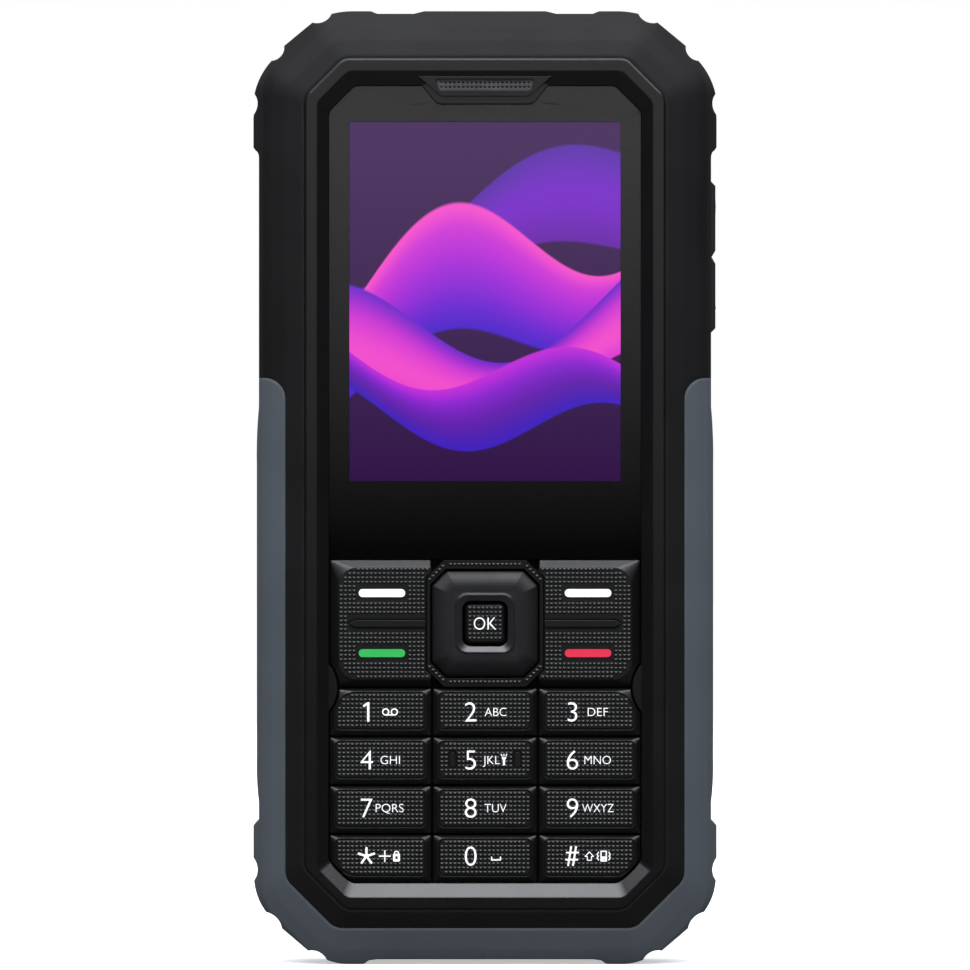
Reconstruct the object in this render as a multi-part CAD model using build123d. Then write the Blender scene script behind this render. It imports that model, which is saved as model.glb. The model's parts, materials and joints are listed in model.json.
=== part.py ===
from build123d import *
import os

# Rugged mobile phone with a keypad, standing upright on the feet of its lower bumper.
# X runs to the right as seen from the front, Y from the front to the back, Z up along the length.
# The origin lies on the floor, in the middle of the width and of the thickness.
# All sizes are in millimetres.

# Widths of the front, each added to the one before, from the middle line outwards
field_half = 21.28
inner_wall = 1.57
band_width = 1.73
strip_width = 2.58
flank_rubber = 3.69
pad_proud = 0.79

# Heights of the front, each added to the one before, from the floor upwards
base_rubber = 7.55
band_low_width = 1.63
wall_low_width = 1.92
row_pitch = 6.65
number_rows = 4
function_height = 17.5
lens_height = 64.48
wall_high_width = 1.97
band_high_width = 1.77
top_rubber = 6.6

# Depths, each added to the one before, from the front lip to the back
lens_sunk = 0.9
lens_thick = 1.0
mask_thick = 0.05
tape_thick = 0.15
ledge_thick = 0.8
panel_thick = 1.5
backlight_thick = 1.0
board_thick = 1.0
board_room = 2.0
bay_floor = 0.9
battery_thick = 5.0
battery_play = 0.2
cover_thick = 1.0
cover_sunk = 0.3

# Corner cuts of the eight-sided outlines, low and high, and how round their corners are
field_cut_low = 3.1
field_cut_high = 3.5
wall_cut_low = 4.0
wall_cut_high = 4.2
lip_cut_low = 5.6
lip_cut_high = 5.25
field_round = 1.2
wall_round = 1.6
lip_round = 2.2
lip_bevel = 0.25
wall_foot = 0.1
past = 1.0

# Hard shells behind the front lip
core_spread = 3.02
shell_wall = 2.0
bezel_lip_depth = 2.1
shell_back_lip = 2.3
boss_radius = 1.9
boss_inset = 1.68
boss_low_rise = 10.45
boss_middle_rise = 4.3
boss_high_drop = 29.42
screw_radius = 0.8
screw_head_radius = 1.4
screw_head_thick = 1.2
screw_head_room = 0.05
screw_head_sunk = 0.6
screw_tip_gap = 0.3
boss_clear = 0.3

# Rubber bumpers
bumper_step = 0.25
grey_top = 79.9
grey_round = 2.9
strip_cut_low = 6.7
strip_round = 2.5
lower_swell = 0.3
swell_rise_low = 22.0
swell_rise_high = 28.0
swell_fall_low = 68.0
swell_fall_high = 76.0
low_pad_high = 19.6
low_pad_flat_high = 18.8
low_pad_flat_low = 14.4
high_pad_flat_high = 14.6
high_pad_flat_low = 18.6
high_pad_low = 20.2
crown_half = 8.3
crown_drop = 0.4
foot_lift = 0.65

# Window and display
window_margin = 0.85
border_side = 2.92
border_low = 10.76
border_high = 4.96
mask_margin = 0.12
panel_side = 2.0
panel_above = 2.0
panel_below = 4.6
backlight_wall = 0.4
lens_gap = 0.06
flex_half = 6.0
flex_thick = 0.2
flex_drop = 3.0

# Earpiece
ear_top_half = 9.05
ear_low_half = 6.0
ear_height = 2.7
ear_below_band = 0.73
ear_margin = 1.05
ear_thick = 0.6
ear_round = 0.8
ear_slot_half = 6.8
ear_slot_low_half = 6.2
ear_slot_height = 1.55
ear_slot_drop = 0.38
ear_slot_round = 0.35
ear_mesh_thick = 0.2
ear_hole_radius = 0.14
ear_hole_pitch = 0.595
ear_hole_columns = 21
ear_duct_half = 5.5
ear_duct_height = 0.9
receiver_half = 6.0
receiver_height = 4.6
receiver_thick = 2.3
receiver_gap = 0.2

# Keypad
key_sunk = 0.6
key_gap = 0.3
number_shoulder = 0.5
function_shoulder = 0.9
key_tall = 2.3
key_lift = 0.35
press_room = 0.5
inner_column = 7.2
plateau_side = 0.6
plateau_above = 0.35
plateau_below = 0.68
plateau_round = 0.9
cell_round = 0.25
outer_key_round = 3.0
pad_rim = 0.1
groove_width = 0.2
groove_depth = 0.3
bulge_reach = 1.2
bulge_half = 3.2
bulge_sunk = 1.0
mark_half_width = 0.42
mark_half_height = 1.05
mark_offset = 4.42
mark_proud = 0.12
rib_outer_gap = 1.48
rib_half = 0.45
rib_proud = 0.3
rib_tip = 0.7
function_gap = 0.15
function_wing = 0.75
function_outer_inset = 1.2
function_end_inset = 1.0
function_round = 2.5
mat_thick = 1.1
mat_rim = 1.0
mat_margin = 0.3
mat_clear = 0.2
nub_radius = 1.0
nub_gap = 0.1
dome_radius = 2.0
dome_height = 0.3
dome_film = 0.1
function_dome = 4.9

# Four-way ring
ring_half = 7.2
ring_cut = 2.0
ring_gap = 0.25
ring_shoulder = 0.9
ring_crown = 2.3
ring_crown_steps = 6
ring_sunk = 0.3
ring_opening_half = 3.1
ring_opening_round = 1.2
ring_lip_half = 4.4
ring_lip_round = 1.9
ring_lip_proud = 0.2
ring_lip_width = 0.5
ring_lip_top_round = 1.5
ring_dish = 0.23
surround_side = 0.5
surround_end = 1.15
surround_sunk = 0.75
carrier_half = 6.0
carrier_thick = 0.3
carrier_gap = 0.25
carrier_room = 0.65
nav_dome_reach = 5.0
ok_half = 2.7
ok_round = 0.7
ok_bevel = 0.3
ok_sunk = 0.75

# Board and what sits on it
board_inset = 3.58
board_end_gap = 1.0
shield_wall = 0.2
shield_tall = 1.7
upper_shield_half = 10.0
upper_shield_gap = 2.3
upper_shield_height = 18.0
lower_shield_half = 11.0
lower_shield_rise = 4.0
lower_shield_height = 20.0
motor_radius = 5.0
motor_thick = 2.7
motor_side_room = 11.1
motor_drop = 17.92
microphone_half = 1.5
microphone_thick = 1.0
microphone_x = 8.0
microphone_above = 0.9
microphone_hole = 0.5

# Battery bay and card holders
bay_side_wall = 1.7
bay_end_gap = 0.8
battery_rise = 14.45
battery_round = 1.2
battery_clear = 0.3
battery_seat = 0.1
contact_half = 0.6
contact_pitch = 3.0
contact_thick = 0.8
contact_rise = 2.6
contact_room = 0.4
contact_count = 3
card_wall = 1.6
card_bay_height = 9.6
card_height = 8.6
card_width = 14.0
card_gap = 2.0
card_thick = 1.4
card_slot = 0.8
card_rim = 1.0

# Battery cover
cover_gap = 0.15
cover_top_drop = 26.42
cover_groove = 0.3
cover_groove_width = 1.2
cover_groove_pitch = 5.2
cover_groove_count = 7
cover_groove_rise = 16.0
cover_groove_half = 15.0
channel_wall = 3.2
channel_floor = 1.0
low_room_wall = 1.5
seal_inner_gap = 1.0
seal_width = 1.0
seal_proud = 0.4
seal_play = 0.1
seal_round = 2.0
seal_top_inset = 1.0
coin_inset = 9.08
coin_rise = 6.65
coin_head_radius = 3.0
coin_head_thick = 0.6
coin_ledge = 0.35
coin_radius = 1.5
coin_length = 3.4
coin_running_gap = 0.05
coin_slot_width = 1.0
coin_slot_depth = 0.35

# Camera, lamps and sounders at the back
back_room_gap = 1.4
back_room_wall = 3.6
back_room_above = 2.2
camera_drop = 10.22
camera_base_half = 4.25
camera_base_tall = 5.4
camera_barrel = 3.2
camera_window_radius = 4.2
camera_window_thick = 0.7
camera_window_sunk = 0.1
camera_hole = 3.4
island_half_width = 14.0
island_half_height = 5.6
island_round = 3.0
island_proud = 0.3
flash_x = 9.0
flash_radius = 1.5
flash_thick = 1.3
speaker_drop = 20.42
speaker_half = 7.5
speaker_half_height = 4.2
speaker_thick = 3.0
grille_half = 8.5
grille_half_height = 1.7
grille_thick = 0.5
grille_hole = 0.45
grille_pitch = 1.35
grille_columns = 11
grille_rows = 2
grille_round = 1.5
antenna_side_gap = 3.0
antenna_height = 2.6
antenna_thick = 0.4
torch_half = 2.5
torch_half_depth = 1.5
torch_sunk = 0.1
torch_led_half = 1.6
torch_led_tall = 2.2
torch_led_gap = 0.4
torch_y = 0.7

# Charging socket and its flap, on the left flank
port_drop = 28.17
port_y = 0.3
port_half = 5.4
port_half_depth = 2.6
port_past_wall = 0.5
socket_length = 7.4
socket_half = 4.47
socket_half_depth = 1.6
socket_wall = 0.35
socket_tongue = 0.35
socket_tongue_sunk = 0.6
socket_back_wall = 1.0
socket_tongue_gap = 0.7
socket_mouth = 6.45
socket_clear = 0.3
flap_half = 6.3
flap_half_depth = 3.6
flap_thick = 1.5
flap_gap = 0.12
flap_plug = 0.6
flap_plug_wall = 0.8
flap_plug_gap = 0.15
flap_nail = 0.8

# Volume rocker, on the right flank
rocker_drop = 23.02
rocker_length = 21.05
rocker_half_depth = 2.2
rocker_proud = 0.68
rocker_waist = 0.15
rocker_waist_half = 0.9
rocker_end = 0.8
rocker_end_sunk = 0.1
rocker_bevel = 0.35
rocker_inside = 2.3
rocker_gap = 0.3
switch_half = 1.5
switch_tall = 1.5
switch_reach = 6.0
switch_strip = 0.6
switch_gap = 0.45
switch_seat = 0.25

# What follows from the sizes above: across
wall_half = field_half + inner_wall
chassis_half = wall_half + band_width
strip_half = chassis_half + strip_width
flank_half = strip_half + flank_rubber
pad_half = flank_half + pad_proud
core_half = chassis_half + core_spread
cavity_half = core_half - shell_wall
boss_x = chassis_half - boss_inset
board_half = core_half - board_inset
active_half = field_half - border_side
back_room_half = cavity_half - back_room_wall
antenna_half = back_room_half - antenna_side_gap
coin_x = chassis_half - coin_inset
motor_x = cavity_half - motor_side_room
battery_half = boss_x - boss_radius - bay_side_wall - battery_clear

# Upwards
wall_low = base_rubber + band_low_width
field_low = wall_low + wall_low_width
number_top = field_low + number_rows * row_pitch
field_split = number_top + function_height
field_high = field_split + lens_height
wall_high = field_high + wall_high_width
chassis_high = wall_high + band_high_width
phone_height = chassis_high + top_rubber
nav_z = (number_top + field_split) / 2
ring_end = function_height / 2 - key_gap / 2 - surround_end - ring_gap
active_low = field_split + border_low
active_high = field_high - border_high
ear_top = wall_high - ear_below_band
camera_z = chassis_high - camera_drop
speaker_z = chassis_high - speaker_drop
motor_z = chassis_high - motor_drop
port_z = phone_height - port_drop
rocker_high = phone_height - rocker_drop
rocker_low = rocker_high - rocker_length
boss_low = base_rubber + boss_low_rise
boss_middle = field_split + boss_middle_rise
boss_high = chassis_high - boss_high_drop

# Downwards from the top of the battery cover to the foot of the battery
cover_top = chassis_high - cover_top_drop
back_room_low = cover_top + back_room_gap
seal_high = cover_top - seal_top_inset
card_bay_high = seal_high - seal_width / 2 - bay_end_gap
card_bay_low = card_bay_high - card_bay_height
contact_high = card_bay_low - card_wall
contact_low = contact_high - contact_room - contact_thick
battery_high = contact_low - battery_clear
battery_low = base_rubber + battery_rise
seal_low = battery_low - battery_clear - seal_inner_gap - seal_width / 2
coin_z = base_rubber + coin_rise
cover_groove_low = battery_low + cover_groove_rise
upper_shield_low = contact_low - upper_shield_gap - upper_shield_height
lower_shield_low = battery_low + lower_shield_rise

# Backwards
thickness = (lens_sunk + lens_thick + mask_thick + tape_thick + ledge_thick + panel_thick
             + backlight_thick + board_thick + board_room + bay_floor + battery_thick
             + battery_play + cover_thick + cover_sunk)
front = -thickness / 2
back = thickness / 2
lens_front = front + lens_sunk
lens_back = lens_front + lens_thick
mask_back = lens_back + mask_thick
seat_front = mask_back + tape_thick
seat_back = seat_front + ledge_thick
panel_back = seat_back + panel_thick
board_front = panel_back + backlight_thick
board_back = board_front + board_thick
floor_front = board_back + board_room
floor_back = floor_front + bay_floor
cover_front = floor_back + battery_thick + battery_play
cover_back = cover_front + cover_thick
lip_back = front + bezel_lip_depth
core_back = back - shell_back_lip
key_top = front + key_sunk
key_back = key_top + key_tall
mat_front = key_back + key_lift
mat_back = mat_front + mat_thick
dome_back = board_front
dome_front = dome_back - dome_film - dome_height


def block(across, deep, up):
    """Box between the low and the high value in X, Y and Z."""
    lows = (across[0], deep[0], up[0])
    highs = (across[1], deep[1], up[1])
    middle = [(low + high) / 2 for low, high in zip(lows, highs)]
    size = [high - low for low, high in zip(lows, highs)]
    return Pos(*middle) * Box(*size)


def peg(x, z, radius, near, far):
    """Round bar along Y between two depths."""
    return Pos(x, (near + far) / 2, z) * Rot(90, 0, 0) * Cylinder(radius, far - near)


def at_depth(outline, depth):
    """Place an outline, drawn as seen from the front, at a depth."""
    return Plane.XZ.offset(-depth) * outline


def slab(outline, near, far):
    """Solid between two depths with an outline drawn as seen from the front."""
    return extrude(at_depth(outline, far), amount=far - near, dir=(0, -1, 0))


def skin(sections):
    """Solid through outlines at growing depths, straight from each to the next."""
    return loft([at_depth(outline, depth) for depth, outline in sections], ruled=True)


def cut_rectangle(across, up, cuts):
    """Rectangle with 45 degree corner cuts: low left, low right, high right, high left."""
    left, right = across
    low, high = up
    low_left, low_right, high_right, high_left = cuts
    return Polygon(
        (left + low_left, low),
        (right - low_right, low),
        (right, low + low_right),
        (right, high - high_right),
        (right - high_right, high),
        (left + high_left, high),
        (left, high - high_left),
        (left, low + low_left),
    )


def round_rectangle(across, up, rounds):
    """Rectangle with its own corner radii: low left, low right, high right, high left."""
    left, right = across
    low, high = up
    places = ((left, low), (right, low), (right, high), (left, high))
    outline = Polygon(*places)
    for place, radius in zip(places, rounds):
        corner = outline.vertices().sort_by_distance(place)[0]
        outline = fillet(corner, radius)
    return outline


def eight_sided(half, low, high, cut_low, cut_high, round_by):
    """Outline with cut and rounded corners, symmetric about the middle line."""
    outline = cut_rectangle((-half, half), (low, high), (cut_low, cut_low, cut_high, cut_high))
    return fillet(outline.vertices(), round_by)


def field_outline(grow=0.0):
    """Outline of the lens and keypad field."""
    return eight_sided(
        field_half + grow, field_low - grow, field_high + grow,
        field_cut_low, field_cut_high, field_round,
    )


def wall_outline():
    """Outline of the inner edge of the raised band."""
    return eight_sided(wall_half, wall_low, wall_high, wall_cut_low, wall_cut_high, wall_round)


def chassis_outline(grow=0.0, grow_low=None, grow_high=None):
    """Outline of the front lip, grown by the same step on every side unless told otherwise."""
    low_step = grow if grow_low is None else grow_low
    high_step = grow if grow_high is None else grow_high
    slope_share = 0.5
    return eight_sided(
        chassis_half + grow,
        base_rubber - low_step,
        chassis_high + high_step,
        lip_cut_low + slope_share * grow,
        lip_cut_high + slope_share * grow,
        lip_round + slope_share * max(grow, 0.0),
    )


def rounded_box_outline(x, z, half_width, half_height, radius):
    """Rounded rectangle about a point."""
    return Pos(x, z) * RectangleRounded(2 * half_width, 2 * half_height, radius)


def trace_path(start, steps):
    """Edges from a start: a point is a straight run to it, two points an arc through and to."""
    edges = []
    here = start
    for step in steps:
        if isinstance(step[0], tuple):
            through, there = step
            edges.append(ThreePointArc(here, through, there))
        else:
            there = step
            edges.append(Line(here, there))
        here = there
    return edges


def bumper_outline():
    """Outline of the rubber as seen from the front, with scalloped pads at the corners."""
    top = phone_height
    edge = pad_half
    flank = flank_half
    swell = flank + lower_swell
    swell_soft = lower_swell / 10
    right_side = [
        (crown_half, top),
        (crown_half + 1.4, top - crown_drop),
        (crown_half + 6.4, top - crown_drop),
        (crown_half + 7.3, top),
        (edge - 13.3, top),
        ((edge - 12.0, top - 0.12), (edge - 10.7, top - 0.4)),
        ((edge - 9.0, top - 1.72), (edge - 8.1, top - 1.6)),
        (edge - 4.2, top - 4.75),
        ((edge - 3.6, top - 6.4), (edge - 2.5, top - 6.8)),
        ((edge - 1.1, top - 8.8), (edge - 0.15, top - 11.3)),
        ((edge - 0.6, top - 12.7), (edge - 0.05, top - 14.1)),
        (edge, top - high_pad_flat_high),
        (edge, top - high_pad_flat_low),
        ((edge - 0.6, top - high_pad_flat_low - 0.7), (flank, top - high_pad_low)),
        (flank, swell_fall_high),
        ((swell - swell_soft, (swell_fall_low + swell_fall_high) / 2), (swell, swell_fall_low)),
        (swell, swell_rise_high),
        ((swell - swell_soft, (swell_rise_low + swell_rise_high) / 2), (flank, swell_rise_low)),
        (flank, low_pad_high),
        (edge, low_pad_flat_high),
        (edge, low_pad_flat_low),
        ((edge - 0.6, 12.9), (edge - 0.1, 11.3)),
        ((edge - 0.6, 9.1), (edge - 1.75, 7.0)),
        ((edge - 3.25, 6.25), (edge - 3.9, 4.75)),
        (edge - 7.5, 1.8),
        ((edge - 9.1, 1.6), (edge - 10.1, 0.55)),
        ((edge - 11.3, 0.18), (edge - 12.6, 0.0)),
        (edge - 15.1, 0.0),
        (edge - 15.8, 0.5),
        (edge - 16.9, foot_lift),
        (0.0, foot_lift),
    ]
    half = trace_path((0.0, top), right_side)
    other_half = [mirror(edge_piece, about=Plane.YZ) for edge_piece in half]
    return make_face(half + other_half)


def rubber_body():
    """Both bumpers as one body: the outline, softened towards the front and the back."""
    # Depth from the front or back, and spread past the front lip: sideways, up and down
    front_steps = [
        (bumper_step, 0.0, 0.0, 0.0),
        (0.95, strip_width, 2.45, 2.6),
        (1.75, 4.5, 4.4, 5.6),
        (2.6, 5.75, 5.5, 7.9),
        (3.8, 6.6, 6.3, 8.1),
        (5.4, 7.5, 7.1, 8.3),
    ]
    back_steps = [
        (2.9, 7.5, 7.1, 8.3),
        (1.7, 6.3, 6.0, 7.9),
        (0.7, 4.8, 4.7, 5.4),
        (0.0, 3.0, 3.0, 3.2),
    ]
    sections = [
        (front + depth, chassis_outline(side, down, up)) for depth, side, up, down in front_steps
    ]
    sections += [
        (back - depth, chassis_outline(side, down, up)) for depth, side, up, down in back_steps
    ]
    return skin(sections) & slab(bumper_outline(), front, back)


def chassis_room():
    """Space that the two hard shells take inside the rubber."""
    lip = slab(chassis_outline(), front, back)
    core = slab(chassis_outline(core_spread), lip_back, core_back)
    return lip + core


def grey_region():
    """Everything outside the black strip and below the top of the grey rubber."""
    outside = pad_half + pad_proud
    lip_low = base_rubber - strip_width
    strip = eight_sided(strip_half, lip_low, 2 * phone_height, strip_cut_low, strip_cut_low, strip_round)
    everything = Polygon((-outside, -past), (outside, -past), (outside, grey_top), (-outside, grey_top))
    outline = everything - strip
    inner_corners = [
        corner for corner in outline.vertices()
        if abs(corner.Y - grey_top) < 0.01 and abs(corner.X) < strip_half + 0.01
    ]
    return slab(fillet(inner_corners, grey_round), front - past, back + past)


def flap_recess():
    """Seat of the flap in the left flank."""
    return block(
        (-pad_half, -flank_half + flap_thick),
        (port_y - flap_half_depth, port_y + flap_half_depth),
        (port_z - flap_half, port_z + flap_half),
    )


def port_well():
    """Well behind the flap, through the rubber and the wall of the rear shell."""
    return block(
        (-pad_half, -cavity_half + port_past_wall),
        (port_y - port_half_depth, port_y + port_half_depth),
        (port_z - port_half, port_z + port_half),
    )


def rocker_slot():
    """Slot of the volume rocker through the right flank."""
    return block(
        (core_half - past, pad_half + past),
        (-rocker_half_depth - rocker_gap, rocker_half_depth + rocker_gap),
        (rocker_low - rocker_gap, rocker_high + rocker_gap),
    )


def torch_bar(low, high, grow=0.0):
    """Upright bar of the torch light guide."""
    outline = Pos(0, torch_y) * SlotOverall(2 * (torch_half + grow), 2 * (torch_half_depth + grow))
    return extrude(Plane.XY.offset(low) * outline, amount=high - low)


def microphone_bore():
    """Sound hole in the bottom edge."""
    middle = base_rubber / 2
    depth = board_back + microphone_thick / 2
    return Pos(microphone_x, depth, middle) * Cylinder(microphone_hole, 3 * base_rubber)


def bumpers():
    """Black upper bumper with its strip round the bottom, and grey lower bumper."""
    rubber = rubber_body() - chassis_room()
    rubber -= flap_recess()
    rubber -= port_well()
    rubber -= rocker_slot()
    rubber -= torch_bar(chassis_high, phone_height + past)
    rubber -= microphone_bore()
    grey = grey_region()
    return rubber - grey, rubber & grey


def bulge(side, grow=0.0, near=front + bulge_sunk):
    """Rounded bulge of the side wall between the function keys and the number keys."""
    radius = (bulge_half ** 2 + bulge_reach ** 2) / (2 * bulge_reach)
    centre = side * (field_half - bulge_reach + radius)
    return peg(centre, number_top, radius + grow, near, seat_back + key_lift)


def ear_outline(margin=0.0):
    """Earpiece surround: wide at the top, narrower below, with sloping sides."""
    low = ear_top - ear_height - margin
    high = ear_top
    outline = Polygon(
        (-ear_low_half - margin / 2, low),
        (ear_low_half + margin / 2, low),
        (ear_top_half + margin / 2, high),
        (-ear_top_half - margin / 2, high),
    )
    low_corners = [corner for corner in outline.vertices() if corner.Y < low + 0.01]
    return fillet(low_corners, ear_round + margin / 2)


def ear_slot_outline(shrink=0.0):
    """Boat-shaped slot of the earpiece."""
    high = ear_top - ear_slot_drop - shrink
    low = high - ear_slot_height + 2 * shrink
    outline = Polygon(
        (-ear_slot_low_half + shrink, low),
        (ear_slot_low_half - shrink, low),
        (ear_slot_half - shrink, high),
        (-ear_slot_half + shrink, high),
    )
    return fillet(outline.vertices(), ear_slot_round)


def ear_duct():
    """Sound passage from the slot to the receiver."""
    middle = ear_top - ear_slot_drop - ear_slot_height / 2
    outline = Pos(0, middle) * SlotOverall(2 * ear_duct_half, ear_duct_height)
    return slab(outline, front, seat_back)


def boss_places():
    """Positions of the six screws that hold the shells together."""
    heights = (boss_low, boss_middle, boss_high)
    return [(side * boss_x, height) for side in (-1, 1) for height in heights]


def front_bezel():
    """Hard front shell: raised band, sloping inner wall, lens seat, keypad opening, bosses."""
    lip = slab(chassis_outline(), front, lip_back)
    front_edges = lip.faces().sort_by(Axis.Y)[0].edges()
    lip = chamfer(front_edges, lip_bevel)
    shell = lip + slab(chassis_outline(core_spread), lip_back, board_front)
    shell -= skin([(front, wall_outline()), (lens_front + wall_foot, field_outline())])
    shell -= slab(ear_outline(), front, lens_front)
    shell -= slab(field_outline(), lens_front, seat_front)
    shell -= slab(chassis_outline(core_spread - shell_wall), seat_back, board_front)
    shell += slab(ear_outline(ear_margin), lens_front, seat_back) & slab(chassis_outline(), front, back)
    window_half = active_half + window_margin
    shell -= block(
        (-window_half, window_half),
        (seat_front, seat_back),
        (active_low - window_margin, active_high + window_margin),
    )
    keypad_room = slab(field_outline(), front, seat_back)
    shell -= keypad_room & block((-chassis_half, chassis_half), (front, seat_back), (0, field_split))
    for side in (-1, 1):
        shell += bulge(side) & slab(chassis_outline(), front, seat_back)
    shell -= ear_duct()
    for x, z in boss_places():
        shell += peg(x, z, boss_radius, seat_back, board_front)
        shell -= peg(x, z, screw_radius, seat_back - screw_tip_gap, board_front)
    shell -= slab(field_outline(), seat_back, seat_back + press_room)
    return shell


def lens_outline():
    """Cover glass: the upper field with the notch for the earpiece."""
    whole = field_outline(-lens_gap)
    lower_half = Polygon(
        (-pad_half, -past),
        (pad_half, -past),
        (pad_half, field_split + lens_gap),
        (-pad_half, field_split + lens_gap),
    )
    return whole - lower_half - ear_outline(ear_margin + lens_gap)


def window_outline(grow):
    """Rectangle round the picture."""
    half = active_half + grow
    low = active_low - grow
    high = active_high + grow
    return Polygon((-half, low), (half, low), (half, high), (-half, high))


def display_lens():
    """Clear cover glass."""
    return slab(lens_outline(), lens_front, lens_back)


def lens_mask():
    """Black print on the back of the glass, open over the picture."""
    return slab(lens_outline() - window_outline(mask_margin), lens_back, mask_back)


def lens_gasket():
    """Sticky foam frame that seals the glass to its seat."""
    return slab(lens_outline() - window_outline(window_margin), mask_back, seat_front)


def panel_limits(grow=0.0):
    """Low and high corners of the display glass, across and up."""
    half = active_half + panel_side + grow
    return (-half, half), (active_low - panel_below - grow, active_high + panel_above + grow)


def display_panel():
    """Display glass."""
    across, up = panel_limits()
    return block(across, (seat_back, panel_back), up)


def display_frame():
    """Backlight in its thin tray round the glass."""
    across, up = panel_limits(backlight_wall)
    tray = block(across, (seat_back, board_front), up)
    return tray - display_panel()


def display_flex():
    """Ribbon that folds from the foot of the display down to the board."""
    tray_low = panel_limits(backlight_wall)[1][0]
    middle = (panel_back + board_front) / 2
    run = block((-flex_half, flex_half), (middle, middle + flex_thick), (tray_low - flex_drop, tray_low))
    turn = block(
        (-flex_half, flex_half),
        (middle, board_front),
        (tray_low - flex_drop, tray_low - flex_drop + flex_thick),
    )
    return run + turn


def earpiece_surround():
    """Trim round the earpiece slot."""
    plate = slab(ear_outline(), lens_front - ear_thick, lens_front)
    return plate - slab(ear_slot_outline(), front, lens_front)


def earpiece_mesh():
    """Perforated plate in the earpiece slot."""
    plate = slab(ear_slot_outline(), lens_front - ear_mesh_thick, lens_front)
    middle = ear_top - ear_slot_drop - ear_slot_height / 2
    for row in (-0.5, 0.5):
        for column in range(ear_hole_columns):
            x = (column - (ear_hole_columns - 1) / 2) * ear_hole_pitch
            plate -= peg(x, middle + row * ear_hole_pitch, ear_hole_radius, front, seat_back)
    return plate


def earpiece_receiver():
    """Small speaker behind the earpiece slot."""
    low = panel_limits(backlight_wall)[1][1] + receiver_gap
    return block(
        (-receiver_half, receiver_half),
        (seat_back, seat_back + receiver_thick),
        (low, low + receiver_height),
    )


def inset(limits, step):
    """Low and high value, each moved inwards."""
    return limits[0] + step, limits[1] - step


def cap(cell_across, cell_up, top_across, top_up, top_rounds, shoulder_depth):
    """Key cap: a straight foot and a crown that narrows to its plateau."""
    cell = round_rectangle(cell_across, cell_up, [cell_round] * 4)
    plateau = round_rectangle(top_across, top_up, top_rounds)
    shoulder = key_top + shoulder_depth
    return slab(cell, shoulder, key_back) + skin([(key_top, plateau), (shoulder, cell)])


def pad_groove(across, up, rounds):
    """Groove that sets the knurled pad off from the rim of its plateau."""
    outer, inner = (
        round_rectangle(inset(across, step), inset(up, step), [radius - step for radius in rounds])
        for step in (pad_rim, pad_rim + groove_width)
    )
    return slab(outer - inner, key_top, key_top + groove_depth)


def in_the_field(shape):
    """Keep a key clear of the walls of the keypad opening."""
    inside = slab(field_outline(-key_gap / 2), front, key_back)
    return (shape & inside) - bulge(-1, key_gap, front) - bulge(1, key_gap, front)


def column_limits(column):
    """Left and right line of a column of number keys: 0, 1 or 2."""
    lines = (-field_half, -inner_column, inner_column, field_half)
    return lines[column] + key_gap / 2, lines[column + 1] - key_gap / 2


def row_limits(row):
    """Low and high line of a row of number keys, 0 being the top row."""
    high = number_top - row * row_pitch
    return high - row_pitch + key_gap / 2, high - key_gap / 2


def number_key(row, column):
    """One number key, rounder where it meets a corner of the field."""
    across = column_limits(column)
    up = row_limits(row)
    top_across = inset(across, plateau_side)
    top_up = (up[0] + plateau_below, up[1] - plateau_above)
    rounds = [plateau_round] * 4
    if column == 0 and row == 0:
        rounds[3] = outer_key_round
    if column == 2 and row == 0:
        rounds[2] = outer_key_round
    if column == 0 and row == number_rows - 1:
        rounds[0] = outer_key_round
    if column == 2 and row == number_rows - 1:
        rounds[1] = outer_key_round
    key = cap(across, up, top_across, top_up, rounds, number_shoulder)
    return in_the_field(key) - pad_groove(top_across, top_up, rounds)


def mark_outline(side, grow=0.0):
    """Oval on one side of the middle key."""
    low, high = row_limits(1)
    middle = (low + plateau_below + high - plateau_above) / 2
    return Pos(side * mark_offset, middle) * SlotOverall(
        2 * (mark_half_height + grow), 2 * (mark_half_width + grow), rotation=90
    )


def middle_key():
    """Number key with a raised, grooved oval on each side, by which a finger finds it."""
    key = number_key(1, 1)
    for side in (-1, 1):
        key -= slab(mark_outline(side, groove_width), key_top, key_top + groove_depth)
        key += slab(mark_outline(side), key_top - mark_proud, key_top + groove_depth)
    return key


def rib_outline(side, start, end, grow=0.0):
    """Rib across a function key, pointed at its outer end."""
    half = rib_half + grow
    point = end + grow * (rib_half ** 2 + rib_tip ** 2) ** 0.5 / rib_half
    neck = point - rib_tip * half / rib_half
    return Polygon(
        (side * start, nav_z - half),
        (side * neck, nav_z - half),
        (side * point, nav_z),
        (side * neck, nav_z + half),
        (side * start, nav_z + half),
    )


def function_key(side):
    """Rocking key with a soft key above its rib and a call key below it, fitted round the ring's frame."""
    edge = ring_half + ring_gap + surround_side + function_gap
    outer = field_half - key_gap / 2
    top_outer = outer - function_outer_inset
    up = (number_top + key_gap / 2, field_split - key_gap / 2)
    across = sorted((side * (edge - function_wing), side * outer))
    top_across = sorted((side * (edge - function_wing), side * top_outer))
    rounds = [cell_round] * 4
    for corner in ((1, 2) if side > 0 else (0, 3)):
        rounds[corner] = function_round
    key = cap(across, up, top_across, inset(up, function_end_inset), rounds, function_shoulder)
    frame_step = ring_gap + function_gap
    key -= slab(ring_outline(frame_step + surround_side, frame_step + surround_end), front, key_back)
    rib_outer = top_outer - rib_outer_gap
    key -= slab(rib_outline(side, 0, rib_outer, groove_width), key_top, key_top + groove_depth)
    key += slab(rib_outline(side, edge, rib_outer), key_top - rib_proud, key_top + groove_depth)
    return in_the_field(key)


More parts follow.
